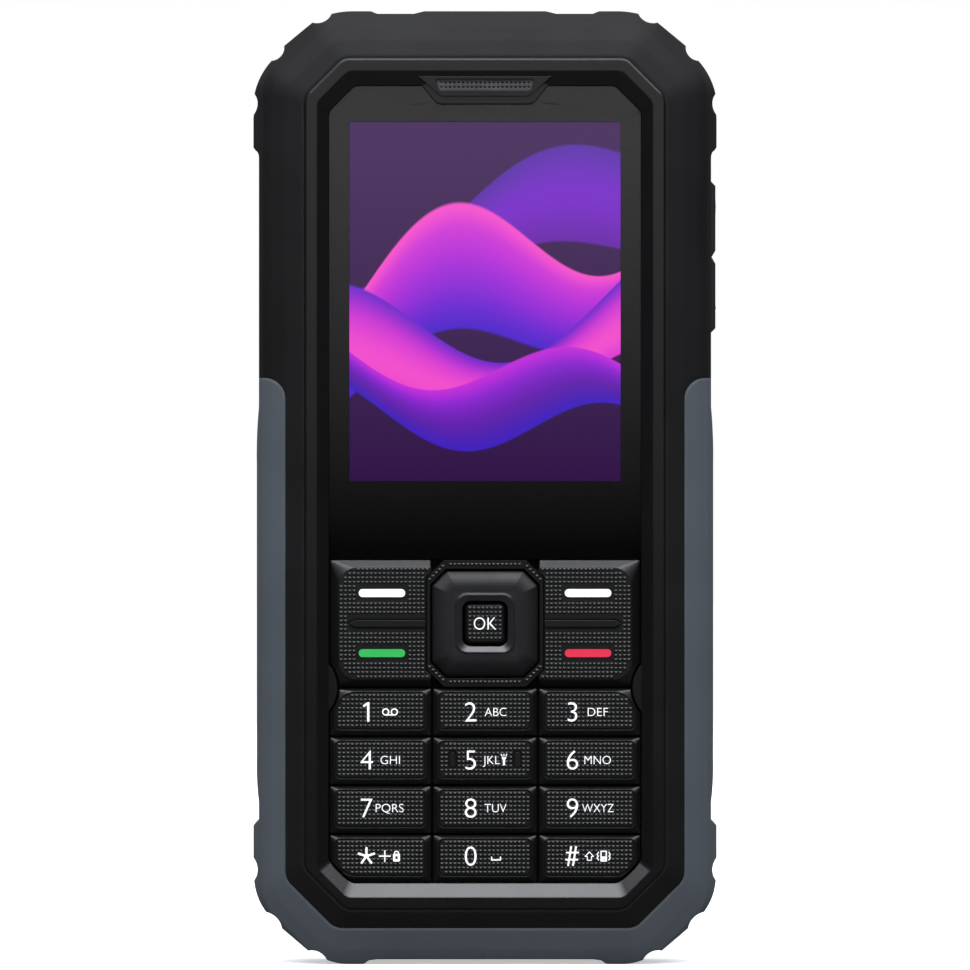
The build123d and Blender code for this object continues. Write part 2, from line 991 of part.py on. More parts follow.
def ring_outline(grow=0.0, grow_end=0.0):
    """Eight-sided outline of the four-way ring."""
    half = ring_half + grow
    end = ring_end + grow_end
    cut = ring_cut + 0.5 * grow
    return cut_rectangle((-half, half), (nav_z - end, nav_z + end), [cut] * 4)


def crown_sections():
    """Outlines of the ring's crown: flat at the lip and steeper outwards, as a parabola is."""
    sections = []
    for step in range(ring_crown_steps + 1):
        share = step / ring_crown_steps
        narrower = ring_crown * (1 - share)
        sections.append((front + ring_sunk + ring_shoulder * share ** 2, ring_outline(-narrower, -narrower)))
    return sections


def nav_ring():
    """Four-way ring, crowned outside, with a raised lip and a dish round the middle key."""
    top = front + ring_sunk
    shoulder = top + ring_shoulder
    body = slab(ring_outline(), shoulder, key_back) + skin(crown_sections())
    lip = rounded_box_outline(0, nav_z, ring_lip_half, ring_lip_half, ring_lip_round)
    lip_top = rounded_box_outline(
        0, nav_z, ring_lip_half - ring_lip_width, ring_lip_half - ring_lip_width, ring_lip_top_round
    )
    body += skin([(top - ring_lip_proud, lip_top), (top + ring_lip_proud, lip)])
    opening = rounded_box_outline(0, nav_z, ring_opening_half, ring_opening_half, ring_opening_round)
    body -= skin([(top - ring_lip_proud, lip_top), (top + ring_dish, opening)])
    return body - slab(opening, front, key_back)


def nav_surround():
    """Thin eight-sided frame round the four-way ring."""
    outer = ring_outline(ring_gap + surround_side, ring_gap + surround_end)
    inner = ring_outline(ring_gap, ring_gap)
    return slab(outer - inner, front + surround_sunk, mat_front)


def nav_carrier():
    """Thin square ring on which the four-way ring tips."""
    near = key_back + carrier_gap
    outer = rounded_box_outline(0, nav_z, carrier_half, carrier_half, ring_lip_round)
    inner = rounded_box_outline(0, nav_z, ring_opening_half, ring_opening_half, ring_opening_round)
    return slab(outer - inner, near, near + carrier_thick)


def ok_key():
    """Middle key of the four-way ring."""
    top = front + ok_sunk
    outline = rounded_box_outline(0, nav_z, ok_half, ok_half, ok_round)
    crown = rounded_box_outline(0, nav_z, ok_half - ok_bevel, ok_half - ok_bevel, ok_round)
    return slab(outline, top + ok_bevel, key_back) + skin([(top, crown), (top + ok_bevel, outline)])


def dome_places():
    """Positions of the snap domes under all keys."""
    places = [(0.0, nav_z)]
    for step in (-nav_dome_reach, nav_dome_reach):
        places.append((step, nav_z))
        places.append((0.0, nav_z + step))
    function_x = (ring_half + field_half) / 2
    for side in (-1, 1):
        for step in (-function_dome, function_dome):
            places.append((side * function_x, nav_z + step))
    for row in range(number_rows):
        for column in range(3):
            places.append((sum(column_limits(column)) / 2, sum(row_limits(row)) / 2))
    return places


def mat_limits(margin):
    """Low and high corners of the keypad mat, across and up, past the keypad opening."""
    half = field_half + margin
    return (-half, half), (field_low - margin, field_split + margin)


def keypad_mat():
    """Silicone mat under the keys, with a rim against the front shell and a nub on each dome."""
    across, up = mat_limits(mat_margin + mat_rim)
    inner_across, inner_up = mat_limits(mat_margin)
    web_back = mat_back
    mat = block(across, (seat_back, board_front - dome_film), up)
    mat -= block(inner_across, (seat_back, mat_front), inner_up)
    mat -= block(inner_across, (web_back, board_front), inner_up)
    for x, z in dome_places():
        mat += peg(x, z, nub_radius, web_back, dome_front - nub_gap)
    mat -= slab(ring_outline(ring_gap, ring_gap), mat_front, mat_front + carrier_room)
    mat &= slab(chassis_outline(core_spread - shell_wall - mat_clear), seat_back, board_front)
    for x, z in boss_places():
        mat -= peg(x, z, boss_radius + boss_clear, seat_back, board_front)
    return mat


def dome_sheet():
    """Film with a snap dome under each key."""
    across, up = mat_limits(mat_margin + mat_rim)
    film = block(across, (dome_back - dome_film, dome_back), up)
    for x, z in dome_places():
        film += peg(x, z, dome_radius, dome_back - dome_film - dome_height, dome_back)
    for x, z in boss_places():
        film -= peg(x, z, boss_radius + boss_clear, mat_back, board_front)
    return film


def main_board():
    """Circuit board, notched round the bosses."""
    spread = board_half - chassis_half
    end_spread = core_spread - shell_wall - board_end_gap
    board = slab(chassis_outline(spread, end_spread, end_spread), board_front, board_back)
    for x, z in boss_places():
        board -= peg(x, z, boss_radius + 2 * boss_clear, board_front, board_back)
    return board


def shield_can(half, low, height):
    """Pressed metal lid over the chips on the back of the board."""
    outside = block((-half, half), (board_back, board_back + shield_tall), (low, low + height))
    inside = block(
        (-half + shield_wall, half - shield_wall),
        (board_back, board_back + shield_tall - shield_wall),
        (low + shield_wall, low + height - shield_wall),
    )
    return outside - inside


def battery_pocket(grow):
    """Outline of the battery's pocket or of the battery itself."""
    middle = (battery_low + battery_high) / 2
    half_height = (battery_high - battery_low) / 2
    return rounded_box_outline(
        0, middle, battery_half + grow, half_height + grow, battery_round + grow
    )


def seal_outline(grow):
    """Outline through the middle of the cover's seal, grown or shrunk."""
    half = battery_half + battery_clear + seal_inner_gap + seal_width / 2 + grow
    middle = (seal_low + seal_high) / 2
    return rounded_box_outline(0, middle, half, (seal_high - seal_low) / 2 + grow, seal_round + grow)


def rear_housing():
    """Hard rear shell: side walls, board room, battery bay, cover seat and camera panel."""
    core = slab(chassis_outline(core_spread), board_front, core_back)
    shell = core + slab(chassis_outline(), core_back, cover_back)
    island = rounded_box_outline(0, camera_z, island_half_width, island_half_height, island_round)
    shell += slab(island, cover_back, cover_back + island_proud)
    shell -= slab(chassis_outline(core_spread - shell_wall), board_front, floor_front)
    for side in (-1, 1):
        channel_across = sorted((side * (battery_half + channel_wall), side * cavity_half))
        channel_up = (seal_low, back_room_low - channel_wall)
        shell -= block(channel_across, (floor_front, core_back - channel_floor), channel_up)
    back_room_high = chassis_high - back_room_above
    shell -= block(
        (-back_room_half, back_room_half),
        (floor_front, cover_front),
        (back_room_low, back_room_high),
    )
    shell -= block(
        (-coin_x + 2 * coin_head_radius, coin_x - 2 * coin_head_radius),
        (floor_front, cover_front - channel_floor),
        (base_rubber + low_room_wall, seal_low - low_room_wall),
    )
    shell -= slab(battery_pocket(battery_clear), floor_back, cover_back)
    contact_span = (contact_count - 1) * contact_pitch / 2 + contact_half + contact_room
    shell -= block((-contact_span, contact_span), (floor_front, cover_front), (contact_low, contact_high))
    shell -= block(
        (-battery_half, battery_half), (floor_back, cover_front), (card_bay_low, card_bay_high)
    )
    below_panel = block((-pad_half, pad_half), (cover_front, back), (0, cover_top + cover_gap))
    shell -= below_panel
    groove = seal_outline(seal_width / 2 + seal_play) - seal_outline(-seal_width / 2 - seal_play)
    shell -= slab(groove, cover_front - seal_proud - seal_play, cover_front)
    for side in (-1, 1):
        shell -= peg(side * coin_x, coin_z, coin_radius + coin_running_gap,
                     cover_front - coin_length - coin_running_gap, cover_front)
    for x, z in boss_places():
        shell += peg(x, z, boss_radius, board_front, core_back)
        shell -= peg(x, z, screw_radius, board_front, core_back)
        head_front = cover_front - screw_head_sunk - screw_head_thick
        shell -= peg(x, z, screw_head_radius + screw_head_room, head_front, cover_front)
    shell -= port_well()
    shell -= block(
        (-cavity_half, -flank_half + socket_mouth + socket_length + socket_clear),
        (floor_front, board_back + 2 * socket_half_depth + socket_clear),
        (port_z - socket_half - socket_clear, port_z + socket_half + socket_clear),
    )
    shell -= block(
        (cavity_half - past, core_half + past),
        (-rocker_half_depth, rocker_half_depth),
        (rocker_low, rocker_high),
    )
    shell -= torch_bar(chassis_high - back_room_above, phone_height)
    shell -= microphone_bore()
    shell -= peg(0, camera_z, camera_hole, cover_front, back)
    window_front = cover_back + island_proud - camera_window_sunk - camera_window_thick
    shell -= peg(0, camera_z, camera_window_radius, window_front, back)
    shell -= peg(flash_x, camera_z, flash_radius, cover_front, back)
    grille = rounded_box_outline(0, speaker_z, grille_half, grille_half_height, grille_round)
    shell -= slab(grille, cover_front, back)
    return shell


def housing_screws():
    """Six screws that hold the two shells together."""
    screws = []
    head_back = cover_front - screw_head_sunk
    head_front = head_back - screw_head_thick
    for x, z in boss_places():
        screw = peg(x, z, screw_head_radius, head_front, head_back)
        screw += peg(x, z, screw_radius, seat_back, head_front)
        screws.append(screw)
    return Part() + screws


def battery():
    """Removable battery."""
    near = floor_back + battery_seat
    return slab(battery_pocket(0.0), near, floor_back + battery_thick)


def battery_contacts():
    """Sprung contacts that stand up from the board at the head of the battery."""
    contacts = []
    for number in range(contact_count):
        x = (number - (contact_count - 1) / 2) * contact_pitch
        contacts.append(block(
            (x - contact_half, x + contact_half),
            (board_back, floor_back + contact_rise),
            (contact_low, contact_low + contact_thick),
        ))
    return Part() + contacts


def card_holder(side):
    """Pressed metal holder for a card, open at the inner edge."""
    low = card_bay_low + (card_bay_height - card_height) / 2
    across = sorted((side * card_gap, side * (card_gap + card_width)))
    body = block(across, (floor_back, floor_back + card_thick), (low, low + card_height))
    slot_across = (across[0] + card_rim, across[1] - card_rim)
    middle = floor_back + card_thick / 2
    slot_up = (low, low + card_height - card_rim)
    slot = block(slot_across, (middle - card_slot / 2, middle + card_slot / 2), slot_up)
    return body - slot


def battery_cover():
    """Cover of the battery bay, with grip grooves and seats for its two screws."""
    spread = -cover_gap
    cover = slab(chassis_outline(spread), cover_front, cover_back)
    cover &= block((-pad_half, pad_half), (cover_front, cover_back), (0, cover_top))
    for number in range(cover_groove_count):
        low = cover_groove_low + number * cover_groove_pitch
        cover -= block(
            (-cover_groove_half, cover_groove_half),
            (cover_back - cover_groove, cover_back),
            (low, low + cover_groove_width),
        )
    for side in (-1, 1):
        x = side * coin_x
        cover -= peg(x, coin_z, coin_radius + coin_running_gap, cover_front, cover_back)
        cover -= peg(x, coin_z, coin_head_radius + coin_running_gap, cover_front + coin_ledge, cover_back)
    return cover


def cover_gasket():
    """Silicone seal under the cover, round the whole bay."""
    ring = seal_outline(seal_width / 2) - seal_outline(-seal_width / 2)
    return slab(ring, cover_front - seal_proud, cover_front)


def cover_screw(side):
    """Captive screw with a slot for a coin."""
    x = side * coin_x
    head_front = cover_front + coin_ledge + coin_running_gap
    head_back = head_front + coin_head_thick
    screw = peg(x, coin_z, coin_head_radius, head_front, head_back)
    screw += peg(x, coin_z, coin_radius, cover_front - coin_length, head_front)
    return screw - block(
        (x - coin_head_radius, x + coin_head_radius),
        (head_back - coin_slot_depth, head_back),
        (coin_z - coin_slot_width / 2, coin_z + coin_slot_width / 2),
    )


def camera_module():
    """Camera: square base on the board and a round barrel."""
    base_back = board_back + camera_base_tall
    base = block(
        (-camera_base_half, camera_base_half),
        (board_back, base_back),
        (camera_z - camera_base_half, camera_z + camera_base_half),
    )
    window_front = cover_back + island_proud - camera_window_sunk - camera_window_thick
    return base + peg(0, camera_z, camera_barrel, base_back, window_front)


def camera_window():
    """Glass over the camera."""
    far = cover_back + island_proud - camera_window_sunk
    return peg(0, camera_z, camera_window_radius, far - camera_window_thick, far)


def flash_led():
    """Flash lamp beside the camera."""
    far = cover_back + island_proud - camera_window_sunk
    return peg(flash_x, camera_z, flash_radius, far - flash_thick, far)


def loudspeaker():
    """Loudspeaker behind the grille at the back."""
    return block(
        (-speaker_half, speaker_half),
        (cover_front - speaker_thick, cover_front),
        (speaker_z - speaker_half_height, speaker_z + speaker_half_height),
    )


def speaker_grille():
    """Perforated strip over the loudspeaker."""
    outline = rounded_box_outline(0, speaker_z, grille_half, grille_half_height, grille_round)
    plate = slab(outline, cover_back - grille_thick, cover_back)
    for row in range(grille_rows):
        for column in range(grille_columns):
            x = (column - (grille_columns - 1) / 2) * grille_pitch
            z = speaker_z + (row - (grille_rows - 1) / 2) * grille_pitch
            plate -= peg(x, z, grille_hole, cover_front, back)
    return plate


def antenna():
    """Film antenna on the inner face of the camera panel."""
    high = chassis_high - back_room_above
    return block(
        (-antenna_half, antenna_half),
        (cover_front - antenna_thick, cover_front),
        (high - antenna_height, high),
    )


def vibration_motor():
    """Coin-shaped vibration motor on the board."""
    return peg(motor_x, motor_z, motor_radius, board_back, board_back + motor_thick)


def microphone():
    """Microphone on the board, over the sound hole."""
    low = base_rubber - core_spread + shell_wall + board_end_gap + microphone_above
    return block(
        (microphone_x - microphone_half, microphone_x + microphone_half),
        (board_back, board_back + microphone_thick),
        (low, low + 2 * microphone_half),
    )


def torch_low():
    """Lower end of the torch light guide."""
    return chassis_high - back_room_above


def torch_led():
    """Lamp of the torch, on the board under the light guide."""
    high = torch_low() - torch_led_gap
    return block(
        (-torch_led_half, torch_led_half),
        (board_back, torch_y + torch_half_depth),
        (high - torch_led_tall, high),
    )


def torch_lens():
    """Light guide that carries the torch's light out of the top edge."""
    return torch_bar(torch_low(), phone_height - torch_sunk)


def usb_socket():
    """Charging socket on the edge of the board."""
    mouth = -flank_half + socket_mouth
    depth_middle = board_back + socket_half_depth
    tongue_half = socket_half - socket_wall - socket_tongue_gap
    can = block(
        (mouth, mouth + socket_length),
        (board_back, board_back + 2 * socket_half_depth),
        (port_z - socket_half, port_z + socket_half),
    )
    can -= block(
        (mouth, mouth + socket_length - socket_back_wall),
        (board_back + socket_wall, board_back + 2 * socket_half_depth - socket_wall),
        (port_z - socket_half + socket_wall, port_z + socket_half - socket_wall),
    )
    return can + block(
        (mouth + socket_tongue_sunk, mouth + socket_length),
        (depth_middle - socket_tongue, depth_middle + socket_tongue),
        (port_z - tongue_half, port_z + tongue_half),
    )


def usb_flap():
    """Rubber flap over the charging socket, with a rim that plugs the well."""
    outer = -flank_half
    inner = outer + flap_thick
    deep = flap_half_depth - flap_gap
    tall = flap_half - flap_gap
    plate = block((outer, inner - flap_gap), (port_y - deep, port_y + deep), (port_z - tall, port_z + tall))
    rim_deep = port_half_depth - flap_plug_gap
    rim_tall = port_half - flap_plug_gap
    rim = block(
        (inner - flap_gap, inner + flap_plug),
        (port_y - rim_deep, port_y + rim_deep),
        (port_z - rim_tall, port_z + rim_tall - flap_plug),
    )
    rim -= block(
        (inner - flap_gap, inner + flap_plug),
        (port_y - rim_deep + flap_plug_wall, port_y + rim_deep - flap_plug_wall),
        (port_z - rim_tall + flap_plug_wall, port_z + rim_tall - flap_plug - flap_plug_wall),
    )
    nail = block(
        (outer, outer + flap_thick / 2),
        (port_y - deep / 2, port_y + deep / 2),
        (port_z - tall, port_z - tall + flap_nail),
    )
    return plate + rim - nail


def volume_rocker():
    """Two-lobed rocker of the volume."""
    middle = (rocker_low + rocker_high) / 2
    outer = flank_half + rocker_proud
    waist = flank_half + rocker_waist
    inside = flank_half - rocker_inside
    outline = Polygon(
        (inside, rocker_low),
        (flank_half - rocker_end_sunk, rocker_low),
        (outer, rocker_low + rocker_end),
        (outer, middle - rocker_waist_half),
        (waist, middle),
        (outer, middle + rocker_waist_half),
        (outer, rocker_high - rocker_end),
        (flank_half - rocker_end_sunk, rocker_high),
        (inside, rocker_high),
    )
    rocker = slab(outline, -rocker_half_depth, rocker_half_depth)
    long_edges = rocker.faces().filter_by(Axis.Y).edges().filter_by(Axis.Z)
    outer_edges = [edge for edge in long_edges if edge.center().X > outer - 0.01]
    return chamfer(outer_edges, rocker_bevel)


def volume_switches():
    """Side switch strip with two small switches, in the wall behind the rocker."""
    strip_near = cavity_half + switch_seat
    strip_far = strip_near + switch_strip
    middle = (rocker_low + rocker_high) / 2
    strip = block(
        (strip_near, strip_far),
        (-rocker_half_depth, rocker_half_depth),
        (rocker_low, rocker_high),
    )
    reach = flank_half - rocker_inside - switch_gap
    for step in (-switch_reach, switch_reach):
        strip += block(
            (strip_far, reach),
            (-switch_half, switch_half),
            (middle + step - switch_tall, middle + step + switch_tall),
        )
    return strip


def build():
    """All pieces by name."""
    upper_bumper, lower_bumper = bumpers()
    pieces = {
        "front_bezel": front_bezel(),
        "upper_bumper": upper_bumper,
        "lower_bumper": lower_bumper,
        "display_lens": display_lens(),
        "lens_mask": lens_mask(),
        "lens_gasket": lens_gasket(),
        "display_panel": display_panel(),
        "display_frame": display_frame(),
        "display_flex": display_flex(),
        "earpiece_surround": earpiece_surround(),
        "earpiece_mesh": earpiece_mesh(),
        "earpiece_receiver": earpiece_receiver(),
        "keypad_mat": keypad_mat(),
        "dome_sheet": dome_sheet(),
        "main_board": main_board(),
        "nav_surround": nav_surround(),
        "nav_carrier": nav_carrier(),
        "nav_ring": nav_ring(),
        "ok_key": ok_key(),
        "left_function_key": function_key(-1),
        "right_function_key": function_key(1),
        "rear_housing": rear_housing(),
        "housing_screws": housing_screws(),
        "battery": battery(),
        "battery_contacts": battery_contacts(),
        "sim_holder": card_holder(-1),
        "memory_card_holder": card_holder(1),
        "battery_cover": battery_cover(),
        "cover_gasket": cover_gasket(),
        "cover_screw_left": cover_screw(-1),
        "cover_screw_right": cover_screw(1),
        "camera_module": camera_module(),
        "camera_window": camera_window(),
        "flash_led": flash_led(),
        "loudspeaker": loudspeaker(),
        "speaker_grille": speaker_grille(),
        "antenna": antenna(),
        "vibration_motor": vibration_motor(),
        "microphone": microphone(),
        "torch_led": torch_led(),
        "torch_lens": torch_lens(),
        "usb_socket": usb_socket(),
        "usb_flap": usb_flap(),
        "volume_rocker": volume_rocker(),
        "volume_switches": volume_switches(),
        "shield_can_upper": shield_can(upper_shield_half, upper_shield_low, upper_shield_height),
        "shield_can_lower": shield_can(lower_shield_half, lower_shield_low, lower_shield_height),
    }
    names = (
        ("key_1", "key_2", "key_3"),
        ("key_4", "key_5", "key_6"),
        ("key_7", "key_8", "key_9"),
        ("key_star", "key_0", "key_hash"),
    )
    for row, row_names in enumerate(names):
        for column, name in enumerate(row_names):
            pieces[name] = number_key(row, column)
    pieces["key_5"] = middle_key()
    return pieces


os.makedirs("parts", exist_ok=True)
for node, shape in build().items():
    export_step(shape, f"parts/{node}.step")
print("thickness", thickness, "height", phone_height, "width", 2 * pad_half)
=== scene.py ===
# %% [markdown]
# # Dressing a rugged keypad phone
#
# The phone comes in as finished solids: rubber bumpers, hard shells, keys, lens, battery cover and
# everything inside. This lesson gives each of them a surface, and adds what is too fine for the solids:
# the knurl on the keys, the printed signs, the lit picture and the small things behind the lenses.
# Everything is in metres and stays where the solids say, so a new piece only needs its own place.

# %% Load the frame
import math

import bmesh
import bpy
from mathutils import Matrix, Vector
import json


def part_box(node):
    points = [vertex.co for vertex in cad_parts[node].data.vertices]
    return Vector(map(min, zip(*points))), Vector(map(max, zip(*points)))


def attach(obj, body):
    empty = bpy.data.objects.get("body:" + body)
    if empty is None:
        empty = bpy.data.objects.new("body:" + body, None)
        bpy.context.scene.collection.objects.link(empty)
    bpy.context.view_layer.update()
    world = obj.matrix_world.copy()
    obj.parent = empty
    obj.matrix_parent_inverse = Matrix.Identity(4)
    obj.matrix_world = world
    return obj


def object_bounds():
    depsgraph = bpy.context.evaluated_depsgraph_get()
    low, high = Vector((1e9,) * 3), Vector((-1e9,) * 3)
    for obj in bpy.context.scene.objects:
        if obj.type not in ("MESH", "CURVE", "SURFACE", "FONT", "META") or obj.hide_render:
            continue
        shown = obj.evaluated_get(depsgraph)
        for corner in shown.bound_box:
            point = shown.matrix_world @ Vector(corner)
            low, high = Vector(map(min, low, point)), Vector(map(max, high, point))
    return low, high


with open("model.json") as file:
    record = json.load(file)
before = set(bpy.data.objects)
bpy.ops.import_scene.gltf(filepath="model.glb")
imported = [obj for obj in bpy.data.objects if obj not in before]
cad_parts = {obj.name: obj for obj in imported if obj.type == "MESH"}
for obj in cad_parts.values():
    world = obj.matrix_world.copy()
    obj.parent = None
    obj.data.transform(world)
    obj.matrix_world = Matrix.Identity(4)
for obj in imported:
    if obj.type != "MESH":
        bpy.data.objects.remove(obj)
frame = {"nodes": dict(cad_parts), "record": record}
MM = 0.001
cad_low, cad_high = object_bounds()
middle = (cad_low + cad_high) / 2
scene = bpy.context.scene
print("pieces in the frame:", len(frame["nodes"]), "box in mm:", (cad_high - cad_low) / MM)

# %% [markdown]
# ## The camera
#
# The picture was taken square to the front from far away, so upright edges stay parallel and no side
# of the phone shows. A long lens a metre off does the same. The width that the frame covers at the
# front face follows from the size of one picture point on the phone.

# %% Set up the camera
frame_points = 970
point_size = 0.136 * MM
frame_width = frame_points * point_size
frame_centre_height = 65.3 * MM
camera_distance = 1.0

camera = bpy.data.objects.new("camera", bpy.data.cameras.new("camera"))
camera.data.lens = camera.data.sensor_width * camera_distance / frame_width
camera.location = (0, cad_low.y - camera_distance, frame_centre_height)
camera.rotation_euler = (math.radians(90), 0, 0)
camera.data.clip_start = 0.01
camera.data.clip_end = 50
scene.collection.objects.link(camera)
scene.camera = camera
scene.view_settings.view_transform = "Standard"
print("lens in mm:", round(camera.data.lens, 1))

# %% [markdown]
# ## Small helpers for nodes
#
# A finish is a chain of nodes. Writing each node and link out by hand is long, so one helper makes a
# node, sets it, and fills its sockets either with a value or with what another node gives out. The
# others build on it: sums, mixes of two colours, noises and softened edges turn up in nearly every
# finish. All patterns are laid on a piece's own coordinates, so they ride with it when it moves.

# %% Node helpers
def shade(red, green, blue):
    """Linear colour of a screen colour given from 0 to 255."""
    linear = [((part / 255 + 0.055) / 1.055) ** 2.4 if part > 10 else part / 3294.6
              for part in (red, green, blue)]
    return (*linear, 1.0)


def add(tree, kind, sockets=None, **settings):
    """New shader node with its settings, its sockets filled with values or linked."""
    made = tree.nodes.new("ShaderNode" + kind)
    for name, value in settings.items():
        setattr(made, name, value)
    for name, value in (sockets or {}).items():
        if isinstance(value, bpy.types.NodeSocket):
            tree.links.new(value, made.inputs[name])
        else:
            made.inputs[name].default_value = value
    return made


def reckon(tree, operation, first, second=0.0, clamp=False):
    """Result of one sum on two values or outputs."""
    return add(tree, "Math", {0: first, 1: second}, operation=operation, use_clamp=clamp).outputs[0]


def blend_colours(tree, share, first, second):
    """Mix of two colours by a share from 0 to 1."""
    return add(tree, "Mix", {0: share, 6: first, 7: second}, data_type="RGBA").outputs[2]


print("mid grey in linear light:", round(shade(128, 128, 128)[0], 3))

# %% Helpers that every finish uses
noise_low = 0.3
noise_high = 0.7
edge_samples = 4


def new_finish(name):
    """Empty material and its node tree, with the output node kept."""
    material = bpy.data.materials.new(name)
    material.use_nodes = True
    tree = material.node_tree
    tree.nodes.clear()
    output = tree.nodes.new("ShaderNodeOutputMaterial")
    return material, tree, output


def close_finish(tree, output, shader):
    """Link the last shader to the surface."""
    tree.links.new(shader, output.inputs["Surface"])


def own_place(tree):
    """Place of a point in the piece's own coordinates."""
    return add(tree, "TexCoord").outputs["Object"]


def noise(tree, place, size, detail=2.0):
    """Cloudy pattern from 0 to 1, with clouds of a given size."""
    return add(tree, "TexNoise", {"Vector": place, "Scale": 1 / size, "Detail": detail}).outputs[0]


def swing(tree, pattern, low, high):
    """Value that goes from low to high where a noise goes over its usual span."""
    return add(tree, "MapRange", {0: pattern, 1: noise_low, 2: noise_high, 3: low, 4: high}).outputs[0]


def soft_edges(tree, radius):
    """Normal as it would be with the edges rounded by a radius."""
    return add(tree, "Bevel", {"Radius": radius}, samples=edge_samples).outputs[0]


print("noises are read from", noise_low, "to", noise_high)

# %% [markdown]
# ## Studio light
#
# The front catches one soft light from above. It hangs close to the phone, so the top of the phone is
# brighter than its foot, as in the photograph, and upper bevels glint while lower ones fall off into
# black. A thin light right overhead draws the bevels that lean back most, and a very wide sun lights
# the floor evenly. Three lights behind the phone's front plane keep the back and the sides readable,
# and the front never mirrors them. All of it is a little cool, as daylight lamps are. The room itself
# stays dim, because black plastic mirrors it.

# %% Soft lights and dim room
daylight = (0.945, 0.96, 1.0)


def softbox(name, width, height, place, radiance):
    """Rectangular light aimed at the middle of the phone."""
    lamp = bpy.data.lights.new(name, "AREA")
    lamp.shape = "RECTANGLE"
    lamp.size = width
    lamp.size_y = height
    lamp.energy = radiance * math.pi * width * height
    lamp.color = daylight
    box = bpy.data.objects.new(name, lamp)
    box.location = place
    box.rotation_euler = (middle - Vector(place)).to_track_quat("-Z", "Y").to_euler()
    scene.collection.objects.link(box)
    return box


def wide_sun(name, spread, radiance):
    """Sun straight overhead that fills a disc of the sky of the given spread in degrees."""
    half = math.radians(spread / 2)
    lamp = bpy.data.lights.new(name, "SUN")
    lamp.angle = 2 * half
    lamp.energy = radiance * math.pi * math.sin(half) ** 2
    lamp.color = daylight
    sun = bpy.data.objects.new(name, lamp)
    sun.location = (0, 0, 1)
    scene.collection.objects.link(sun)
    return sun


softbox("light_key", 0.6, 0.13, (0, -0.25, 0.35), 7.5)
softbox("light_over", 0.36, 0.06, (0, -0.06, 0.42), 4.0)
wide_sun("light_sky", 90, 1.3)
softbox("light_back", 0.8, 0.5, (0, 0.9, 0.35), 2.6)
for side_name, side in (("left", -1), ("right", 1)):
    softbox("light_" + side_name, 0.5, 0.4, (side * 0.8, 0.4, 0.45), 1.6)

room_glow = 0.05
room = bpy.data.worlds.new("room")
room.use_nodes = True
room_tree = room.node_tree
room_tree.nodes.clear()
sight = add(room_tree, "LightPath").outputs["Is Camera Ray"]
seen = add(room_tree, "Background", {"Color": (1, 1, 1, 1), "Strength": 1.0}).outputs[0]
glow = add(room_tree, "Background", {"Color": (0.95, 0.97, 1, 1), "Strength": room_glow}).outputs[0]
both = add(room_tree, "MixShader", {0: sight, 1: glow, 2: seen}).outputs[0]
room_tree.links.new(both, room_tree.nodes.new("ShaderNodeOutputWorld").inputs["Surface"])
scene.world = room

# %% [markdown]
# ## The graded card
#
# Flat glossy fronts mirror what stands in front of them. Here that is a large card behind the camera,
# black at the foot and brighter upwards. The glass shows it as a grey veil that fades towards the
# keypad, and the flat band round it shines above and stays dark below. The card gives light by a ramp
# along its height and hides from the camera itself, which would otherwise see it from behind.

# %% Graded card
card_width = 0.4
card_height = 0.38
card_gap = 0.1
card_dark_below = 47 * MM
card_rise = 8.6
card_full = 1.0

card_mesh = bpy.data.meshes.new("card")
shaper = bmesh.new()
upright = Matrix.Rotation(math.radians(-90), 4, "X")
card_place = Matrix.Translation((0, camera.location.y - card_gap, card_height / 2))
bmesh.ops.create_grid(shaper, x_segments=1, y_segments=1, size=0.5,
                      matrix=card_place @ upright @ Matrix.Diagonal((card_width, card_height, 1, 1)))
shaper.to_mesh(card_mesh)
shaper.free()
card = bpy.data.objects.new("card", card_mesh)
card.visible_camera = False
scene.collection.objects.link(card)

glowing, tree, output = new_finish("card_glow")
height = add(tree, "SeparateXYZ", {0: own_place(tree)}).outputs[2]
card_top = card_dark_below + card_full / card_rise
light = add(tree, "MapRange", {0: height, 1: card_dark_below, 2: card_top, 3: 0.0, 4: card_full}).outputs[0]
close_finish(tree, output, add(tree, "Emission", {"Color": (1, 1, 1, 1), "Strength": light}).outputs[0])
card_mesh.materials.append(glowing)
print("card is fully lit from", round(card_top, 2), "m up")

# %% [markdown]
# ## The floor
#
# A pale floor carries the phone. Seen by the camera it is white, as in a catalogue picture. The light
# that it throws back on the phone is duller, and in the phone's gloss it is nearly black, so edges that
# look down or aside stay dark, as they do above a table covered with black paper.

# %% Pale floor
floor_half = 3.0
floor_drop = 0.05 * MM
speckle_size = 1 / 900
camera_glow = 0.5

floor_mesh = bpy.data.meshes.new("floor")
shaper = bmesh.new()
bmesh.ops.create_grid(shaper, x_segments=1, y_segments=1, size=floor_half,
                      matrix=Matrix.Translation((0, 0, -floor_drop)))
shaper.to_mesh(floor_mesh)
shaper.free()
floor = bpy.data.objects.new("floor", floor_mesh)
scene.collection.objects.link(floor)

